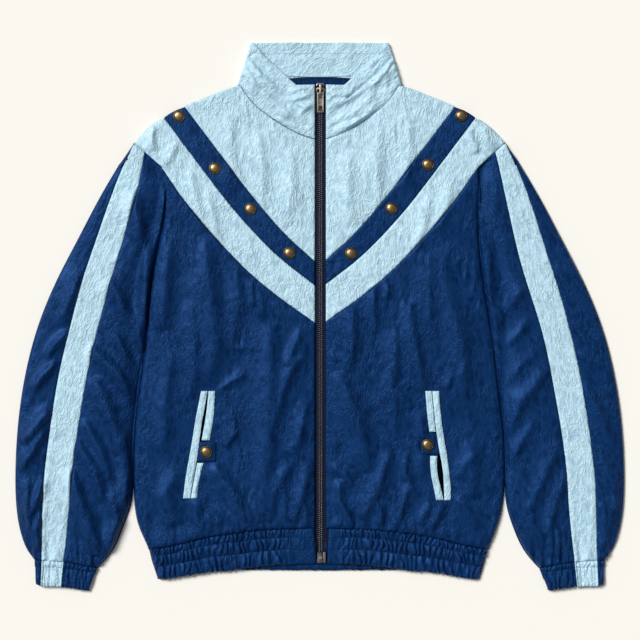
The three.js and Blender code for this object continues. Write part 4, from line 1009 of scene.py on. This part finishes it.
for side in ("right", "left"):
    for welt, cut in (("outer", (10, 156)), ("upper", (11, 70)), ("lower", (10, 64))):
        node_name = "pocket_welt_" + welt + "_" + side
        piece = make_cloth("welt_" + welt + "_" + side, node_name, 1.3, body_height, roll=0.4)
        lay(piece, sky_nylon, "sky_nylon", node_name)
        edges = strip_edges(node_name, 1.7)
        outer_edge = edges[0] if (side == "right") == (welt == "outer") else edges[1]
        sew("welt_" + welt + "_stitches_" + side, [outer_edge], [piece], sky_thread)
    tab = make_cloth("pocket_tab_cloth_" + side, "pocket_tab_" + side, 1.3, body_height, roll=0.5)
    lay(tab, navy_nylon, "navy_nylon", "pocket_tab_" + side)
    low, high = (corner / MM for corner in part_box("pocket_tab_" + side))
    frame_run = [(low.x + 2, low.y + 2), (high.x - 2, low.y + 2), (high.x - 2, high.y - 2),
                 (low.x + 2, high.y - 2), (low.x + 2, low.y + 2)]
    sew("pocket_tab_stitches_" + side, [frame_run], [tab], navy_thread)

    # A near-black sheet where the mouth gapes between the welts: the pocket's lining, its black a painted
    # shadow
    outer_y, outer_x, outer_z = strip_line("pocket_welt_outer_" + side)
    inner_y, inner_x, inner_z = strip_line("pocket_welt_upper_" + side, "pocket_welt_lower_" + side)
    heights = np.linspace(outer_y[0] + 3, outer_y[-1] - 3, LINING_ROWS)
    parts = np.linspace(0, 1, LINING_COLUMNS)
    places = []
    for level in heights:
        from_x = np.interp(level, outer_y, outer_x)
        to_x = np.interp(level, inner_y, inner_x)
        for part in parts:
            places.append((from_x + part * (to_x - from_x), level, np.interp(level, outer_y, outer_z) + 0.05))
    x, y, z = np.array(places).T
    corners = (0, 1, LINING_COLUMNS + 1, LINING_COLUMNS)
    faces = [[row * LINING_COLUMNS + k + corner for corner in corners]
             for row in range(LINING_ROWS - 1) for k in range(LINING_COLUMNS - 1)]
    lining = np.column_stack([x, y, z + body_height(x, y)]) * MM
    inside = new_piece("pocket_inside_shadow_" + side, lining, faces)
    modify(inside, "SOLIDIFY", thickness=0.2 * MM, offset=-1)
    inside.data.materials.append(pocket_lining_painted_shadow)
    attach(inside, "jacket")


# Zip: two woven tapes with metal teeth closed on each other, a slider with its pull, and the
# retainer box at the foot. The metal is dark antique pewter, worn brighter on its edges, with
# painted shade in its hollows and painted highlights where the light catches it.

def block(name, low, high):
    """A box between two corners in millimetres, open for editing"""
    piece = begin(name, bpy.ops.mesh.primitive_cube_add, size=1)
    bpy.ops.transform.resize(value=[(b - a) * MM for a, b in zip(low, high)], center_override=(0, 0, 0))
    bpy.ops.transform.translate(value=[(a + b) / 2 * MM for a, b in zip(low, high)])
    return piece


def pick(piece, wanted):
    """Selects the faces of the open piece for which wanted(middle, normal) is true"""
    bpy.context.tool_settings.mesh_select_mode = (False, False, True)
    bpy.ops.mesh.select_all(action="DESELECT")
    sheet = bmesh.from_edit_mesh(piece.data)
    for face in sheet.faces:
        face.select_set(bool(wanted(face.calc_center_median() / MM, face.normal)))
    sheet.select_flush_mode()
    bmesh.update_edit_mesh(piece.data)


def draw_out(x=0.0, y=0.0, z=0.0):
    """Extrudes the picked faces by a step in millimetres"""
    bpy.ops.mesh.extrude_region_move(TRANSFORM_OT_translate={"value": (x * MM, y * MM, z * MM)})


def taper(piece, from_level, to_level, wide, middle):
    """Scales the points between two levels of y across x"""
    bpy.context.tool_settings.mesh_select_mode = (True, False, False)
    bpy.ops.mesh.select_all(action="DESELECT")
    sheet = bmesh.from_edit_mesh(piece.data)
    for vert in sheet.verts:
        vert.select_set(from_level * MM <= vert.co.y <= to_level * MM)
    bmesh.update_edit_mesh(piece.data)
    bpy.ops.transform.resize(value=(wide, 1, 1), center_override=(middle * MM, 0, 0))


def finish_metal(piece, material, slot, body, *nodes, bevel=0.3, segments=2, marks=()):
    """Rounds a metal piece's edges, stores its wear and painted light and fixes it. Marks give that level
    within boxes, painting shade in hollows and highlights where the light falls.
    """
    bpy.ops.object.mode_set(mode="OBJECT")
    if bevel:
        modify(piece, "BEVEL", width=bevel * MM, segments=segments, limit_method="ANGLE",
               angle_limit=math.radians(30))
    store_wear_and_painted_light(piece, marks=marks)
    piece.data.materials.clear()
    piece.data.materials.append(material)
    choose(piece)
    bpy.ops.object.shade_smooth_by_angle(angle=math.radians(35))
    if nodes:
        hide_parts(*nodes)
    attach(piece, body)


def store_wear_and_painted_light(piece, values=None, marks=()):
    """Stores each point's wear and painted light: 1 on outer edges, worn and painted bright, 0.35 on faces
    and 0 in hollows, painted shade
    """
    if values is None:
        sheet = bmesh.new()
        sheet.from_mesh(piece.data)
        values = np.zeros(len(sheet.verts))
        for vert in sheet.verts:
            bends = [edge.calc_face_angle_signed() for edge in vert.link_edges if len(edge.link_faces) == 2]
            values[vert.index] = np.clip(0.35 + sum(bends), 0, 1) if bends else 0.35
        sheet.free()
    places = places_of(piece).T
    for low, high, wear_and_light_level in marks:
        values[((places > low) & (places < high)).all(axis=1)] = wear_and_light_level
    stored = piece.data.attributes.new("wear_and_painted_light", "FLOAT", "POINT")
    stored.data.foreach_set("value", values)


def worn_metal_painted_light(name, dark, bright, roughness):
    """Antique metal: painted shade in its hollows, brighter where it is worn and where highlights are
    painted, with a mottled patina
    """
    material, tree, shader = new_material(name)
    wear_and_light_level = tree.nodes.new("ShaderNodeAttribute")
    wear_and_light_level.attribute_name = "wear_and_painted_light"
    place = node(tree, "TexCoord")
    mottle = node(tree, "TexNoise", Vector=place.outputs["Object"], Scale=420.0, Detail=3.0, Roughness=0.6)
    patina = node(tree, "MapRange", Value=mottle.outputs[0], From_Min=0.35, From_Max=0.7, To_Min=-0.08,
                  To_Max=0.18)
    amount = maths(tree, "ADD", wear_and_light_level.outputs["Fac"], patina.outputs[0])
    ramp = node(tree, "ValToRGB", Fac=amount)
    ramp.color_ramp.elements[0].color = (*(level * 0.15 for level in dark), 1)
    ramp.color_ramp.elements[1].color = (*bright, 1)
    middle = ramp.color_ramp.elements.new(0.35)
    middle.color = (*dark, 1)
    link(tree, ramp.outputs[0], shader.inputs["Base Color"])
    rough = node(tree, "MapRange", Value=amount, To_Min=roughness + 0.12, To_Max=roughness - 0.08)
    link(tree, rough.outputs[0], shader.inputs["Roughness"])
    shader.inputs["Metallic"].default_value = 1.0
    return material


# The dark end of each ramp paints the shade in hollows, made darker still for the slider and retainer
pewter = worn_metal_painted_light("antique pewter", (0.24, 0.2, 0.165), (0.8, 0.73, 0.65), 0.42)
dark_pewter = worn_metal_painted_light("dark pewter", (0.045, 0.042, 0.046), (0.42, 0.39, 0.38), 0.4)
tooth_metal = worn_metal_painted_light("tooth metal", (0.26, 0.32, 0.38), (0.95, 0.84, 0.74), 0.4)

ZIP_MIDDLE = 1.0
ZIP_FOOT = -350.0
ZIP_TOP = 324.0
TOOTH_PITCH = 2.8

tape_weave, tree, shader = new_material("zip tape weave")
place = node(tree, "TexCoord")
twill = node(tree, "TexWave", Vector=place.outputs["Object"], Scale=520.0, Distortion=0.6)
twill.bands_direction = "DIAGONAL"
shade = node(tree, "ValToRGB", Fac=twill.outputs["Color"])
shade.color_ramp.elements[0].color = (0.0022, 0.005, 0.02, 1)
shade.color_ramp.elements[1].color = (0.009, 0.0115, 0.038, 1)
fill(tree, shader, Base_Color=shade.outputs[0], Roughness=0.75, Specular_IOR_Level=0.2)

for side, sign in (("right", -1), ("left", 1)):
    near, far = sorted((ZIP_MIDDLE + sign * 0.3, ZIP_MIDDLE + sign * 14.4))
    tape = block("zip_tape_cloth_" + side, (near, ZIP_FOOT, 3.3), (far, ZIP_TOP + 4, 4.1))
    slice_at(0, ZIP_MIDDLE + sign * 2.4, ZIP_MIDDLE + sign * 3.6)
    slice_at(1, *range(-330, 321, 20))
    pick(tape, lambda middle, normal: normal.z > 0.5 and abs(middle.x - ZIP_MIDDLE) < 3.6
         and abs(middle.x - ZIP_MIDDLE) > 2.4)
    draw_out(z=0.5)
    bpy.ops.object.mode_set(mode="OBJECT")
    modify(tape, "BEVEL", width=0.2 * MM, segments=2, limit_method="ANGLE", angle_limit=math.radians(30))
    dress(tape, tape_weave, "zip_tape", "zip_tape_" + side)

    # One tooth, clamped on the tape's edge, with its rounded head past the middle
    tooth = block("zip_teeth_" + side, (-0.9, -0.55, 3.4), (2.3, 0.55, 4.7))
    slice_at(0, 0.7, 2.0)
    pick(tooth, lambda middle, normal: normal.z > 0.5 and 0.7 < middle.x < 2.0)
    draw_out(z=1.0)
    bpy.ops.mesh.select_all(action="SELECT")
    bpy.ops.mesh.bevel(offset=0.2 * MM, segments=1, affect="EDGES")
    if sign < 0:
        bpy.ops.mesh.select_all(action="SELECT")
        bpy.ops.transform.resize(value=(-1, 1, 1), center_override=(0, 0, 0))
        bpy.ops.mesh.select_all(action="SELECT")
        bpy.ops.mesh.normals_make_consistent(inside=False)
    bpy.ops.mesh.select_all(action="SELECT")
    offset = 0 if sign < 0 else TOOTH_PITCH / 2
    bpy.ops.transform.translate(value=((ZIP_MIDDLE + sign * 0.3) * MM, (-333.5 + offset) * MM, 0))
    bpy.ops.object.mode_set(mode="OBJECT")
    modify(tooth, "ARRAY", count=232, use_relative_offset=False, use_constant_offset=True,
           constant_offset_displace=(0, TOOTH_PITCH * MM, 0))
    # Painted light: the teeth's feet in shade, and the lower teeth painted brighter than the upper ones
    finish_metal(tooth, tooth_metal, "zip_metal", "jacket", *(["zip_chain"] if sign > 0 else []), bevel=0,
                 marks=[((-9, -400, 3), (9, 400, 5), 0.0), ((-9, -190, 5), (9, 400, 9), 0.45),
                        ((-9, -400, 5), (9, -190, 9), 1.0)])

# Retainer box: a flat cap over the foot of the chain, its upper half stepped down beside the pin
box = block("zip_retainer_cap", (-3.4, -350, 4.3), (8.4, -335, 7.5))
slice_at(0, -2.6, 4.4, 5.0)
slice_at(1, -344.6, -344.0)
pick(box, lambda middle, normal: normal.z > 0.5 and (4.4 < middle.x < 5.0 or (middle.x < 4.4
     and -344.6 < middle.y < -344.0)))
draw_out(z=-0.5)
pick(box, lambda middle, normal: normal.z > 0.5 and middle.x < 4.4 and middle.y > -344.0)
draw_out(z=-0.4)
# The marks paint the stepped-down upper half in shade and the side strips as highlights
finish_metal(box, dark_pewter, "zip_metal", "jacket", "zip_retainer_box",
             marks=[((-2.7, -351, 7.4), (4.5, -344, 8), 0.5), ((-2.7, -344, 7), (4.5, -334, 8), 0.3),
                    ((5.0, -351, 7.4), (9, -334, 8), 0.8), ((-4, -351, 7), (-2.5, -334, 8), 0.9)])

# Slider: a tapered plate with flanges round the chain, a crown, and the bridge over the pull's bar
slider = block("zip_slider_body", (ZIP_MIDDLE - 5.0, 313, 6.0), (ZIP_MIDDLE + 5.0, 331.5, 7.3))
slice_at(1, 317, 321, 325, 327, 328.6, 330.2)
slice_at(0, ZIP_MIDDLE - 3.9, ZIP_MIDDLE - 1.4, ZIP_MIDDLE + 1.4, ZIP_MIDDLE + 3.9)
SLIDER_WIDTHS = [(313, 0.85), (317, 0.9), (321, 1.0), (325, 1.08), (327, 1.12), (328.6, 1.12), (330.2, 1.02),
                 (331.5, 0.7)]
for level, wide in SLIDER_WIDTHS:
    taper(slider, level - 0.3, level + 0.3, wide, ZIP_MIDDLE)
pick(slider, lambda middle, normal: normal.z < -0.5 and abs(middle.x - ZIP_MIDDLE) > 3.9 and middle.y < 328)
draw_out(z=-1.6)
pick(slider, lambda middle, normal: normal.z < -0.5 and abs(middle.x - ZIP_MIDDLE) < 1.4 and middle.y > 328)
draw_out(z=-2.4)
pick(slider, lambda middle, normal: normal.z > 0.5 and 1.4 < abs(middle.x - ZIP_MIDDLE) < 4.4
     and 317 < middle.y < 330)
bpy.ops.mesh.inset(thickness=0.4 * MM)
draw_out(z=-0.8)
# The marks paint the sunk recesses in shade, the top plate darker and the crown's front edge as a highlight
finish_metal(slider, dark_pewter, "zip_metal", "jacket", "zip_slider", bevel=0.3,
             marks=[((-8, 312, 6.1), (9, 331, 6.8), 0.0), ((-8, 312, 6.8), (9, 328, 8), 0.15),
                    ((-8, 329.5, 6.9), (9, 332, 8), 0.95)])
bridge = block("zip_slider_bridge", (ZIP_MIDDLE - 1.4, 314.5, 10.4), (ZIP_MIDDLE + 1.4, 328.5, 11.6))
slice_at(1, 316.6, 326.2)
pick(bridge, lambda middle, normal: normal.z < -0.5 and (middle.y < 316.6 or middle.y > 326.2))
draw_out(z=-3.5)
# The marks paint a highlight on the bridge's top and its front darker
finish_metal(bridge, pewter, "zip_metal", "jacket", bevel=0.5, segments=3,
             marks=[((-8, 318.5, 11.2), (9, 330, 12), 0.95), ((-8, 313, 9), (9, 318.5, 12), 0.3)])

# Pull: a flat tab hung by a wider ring, with raised rims round a sunk ribbed panel, a slot and
# two small hollows. It turns on the ring's bar under the bridge.
PULL_PIVOT = (1.0, 323.0, 8.8)
PULL_TURN = 3.2
pull = block("zip_pull", (-4.7, -33.2, -0.8), (4.7, 1.9, 0.8))
slice_at(1, -6.0, -4.2, -1.0, 0.8)
for level, wide in ((-4.2, 1.16), (-1.0, 1.36), (0.8, 1.2), (1.9, 0.8)):
    taper(pull, level - 0.2, level + 0.2, wide, 0)
bpy.ops.object.mode_set(mode="OBJECT")
cutters = []
hollows = [((-4.3, -4.6, -2), (4.3, -0.9, 2)), ((-2.5, -30.6, -0.4), (-0.2, -24.0, 2)),
           ((0.2, -30.6, -0.4), (2.5, -24.0, 2)), ((-3.3, -23.2, 0.3), (3.3, -6.4, 2)),
           ((-2.4, -13.2, -0.4), (2.4, -11.3, 2))]
ribs = [((-2.8, -22.6 + 1.5 * step, 0.1), (2.8, -22.1 + 1.5 * step, 2)) for step in range(6)]
for low, high in hollows + ribs:
    cutter = block("cutter", low, high)
    bpy.ops.object.mode_set(mode="OBJECT")
    cutters.append(cutter)
for cutter in cutters:
    modify(pull, "BOOLEAN", operation="DIFFERENCE", object=cutter, solver="EXACT")
    bpy.data.objects.remove(cutter)
# The marks paint the slot and the two hollows in shade, the rims bright, and the ribbed panel and the ring
# darker
finish_metal(pull, pewter, "zip_metal", "pull", "pull_tab", bevel=0.2,
             marks=[((-3.6, -23.4, 0.05), (3.6, -6.2, 0.6), 0.42),
                    ((-2.6, -13.4, -0.5), (2.6, -11.1, 0.1), 0.0),
                    ((-6, -34, 0.6), (6, -6, 1), 0.85), ((-7, -5.9, -1), (7, 2, 1), 0.3),
                    ((-2.7, -30.8, -0.5), (2.7, -23.8, 0.9), 0.0)])
choose(pull)
bpy.ops.object.mode_set(mode="EDIT")
bpy.ops.mesh.select_all(action="SELECT")
bpy.ops.transform.translate(value=[level * MM for level in PULL_PIVOT])
bpy.ops.transform.rotate(value=math.radians(-PULL_TURN), orient_axis="X",
                         center_override=[level * MM for level in PULL_PIVOT])
bpy.ops.object.mode_set(mode="OBJECT")


# Snaps: pressed caps of antique brass, each with a rolled rim, a groove and a low dome, clamped
# through the cloth. They stay closed.

brass = worn_metal_painted_light("antique brass", (0.19, 0.125, 0.06), (0.66, 0.49, 0.27), 0.37)
SNAP_PROFILE = [(0, 0), (7.6, 0), (8.3, 0.25), (8.5, 0.7), (8.3, 1.15), (7.8, 1.35), (7.35, 1.25), (7.1,
     1.05),
                (6.7, 1.35), (5.8, 1.95), (4.6, 2.45), (3.0, 2.8), (1.4, 2.97), (0, 3)]
# Painted light along the profile: shade in the groove and centre, the dome brighter
SNAP_WEAR_AND_LIGHT = [0, 0, 0.1, 0.15, 0.3, 0.2, 0, 0, 0.15, 0.4, 0.5, 0.5, 0.45, 0.4]

for name in [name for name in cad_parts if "snap" in name]:
    seat = places_of(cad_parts[name]).T
    seat = np.unique(seat.round(3), axis=0)
    middle = seat.mean(axis=0)
    axis = np.linalg.svd(seat - middle)[2][2]
    axis = axis * np.sign(axis[2])
    base = middle + axis * ((seat - middle) @ axis).min()

    cap = begin(name + "_cap", bpy.ops.mesh.primitive_plane_add, size=1)
    bpy.ops.mesh.delete(type="VERT")
    sheet = bmesh.from_edit_mesh(cap.data)
    chain = [sheet.verts.new((radius * MM, 0, level * MM)) for radius, level in SNAP_PROFILE]
    for first, second in zip(chain, chain[1:]):
        sheet.edges.new((first, second))
    bmesh.update_edit_mesh(cap.data)
    bpy.ops.mesh.select_all(action="SELECT")
    bpy.ops.mesh.spin(steps=40, angle=2 * math.pi, center=(0, 0, 0), axis=(0, 0, 1))
    bpy.ops.mesh.select_all(action="SELECT")
    bpy.ops.mesh.remove_doubles(threshold=0.01 * MM)
    bpy.ops.mesh.normals_make_consistent(inside=False)
    bpy.ops.object.mode_set(mode="OBJECT")
    x, y, z = places_of(cap)
    radius = np.hypot(x, y)
    profile = np.array(SNAP_PROFILE)
    wear_and_painted_light = [SNAP_WEAR_AND_LIGHT[int(np.argmin((profile[:, 0] - r) ** 2 + (profile[:, 1] - level) ** 2))]
            for r, level in zip(radius, z)]
    turn = Vector((0, 0, 1)).rotation_difference(Vector(axis)).to_matrix()
    placed = np.column_stack([x, y, z]) @ np.array(turn).T + base
    put_places(cap, *placed.T)
    store_wear_and_painted_light(cap, np.array(wear_and_painted_light, float))
    cap.data.materials.append(brass)
    choose(cap)
    bpy.ops.object.shade_smooth()
    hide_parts(name)
    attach(cap, "jacket")


# Surface and light: the jacket lies on a plain cream surface under a large soft light from the
# upper left, and the camera looks straight down on it.

bpy.ops.mesh.primitive_plane_add(size=6, location=(0, 0, 0))
surface = bpy.context.object
surface.name = "surface"
cream, tree, shader = new_material("cream surface")
fill(tree, shader, Base_Color=(0.938, 0.918, 0.862, 1), Roughness=0.9)
surface.data.materials.append(cream)

world = bpy.data.worlds.new("studio")
world.use_nodes = True
fill(world.node_tree, world.node_tree.nodes["Background"], Color=(0.95, 0.97, 1.0, 1), Strength=0.235)
bpy.context.scene.world = world

key = bpy.data.lights.new("soft key", "SUN")
key.energy = 3.5
key.angle = math.radians(24)
key.color = (1.0, 0.985, 0.965)
key_light = bpy.data.objects.new("soft key", key)
key_light.rotation_euler = Vector((-0.8, 0.6, 1.05)).to_track_quat("Z", "Y").to_euler()
bpy.context.scene.collection.objects.link(key_light)

lens = bpy.data.cameras.new("camera")
lens.lens = 85
lens.sensor_width = 36
lens.clip_end = 20
camera = bpy.data.objects.new("camera", lens)
camera.location = (0.0004, -0.005, 2.153)
bpy.context.scene.collection.objects.link(camera)
bpy.context.scene.camera = camera
bpy.context.scene.view_settings.view_transform = "Standard"
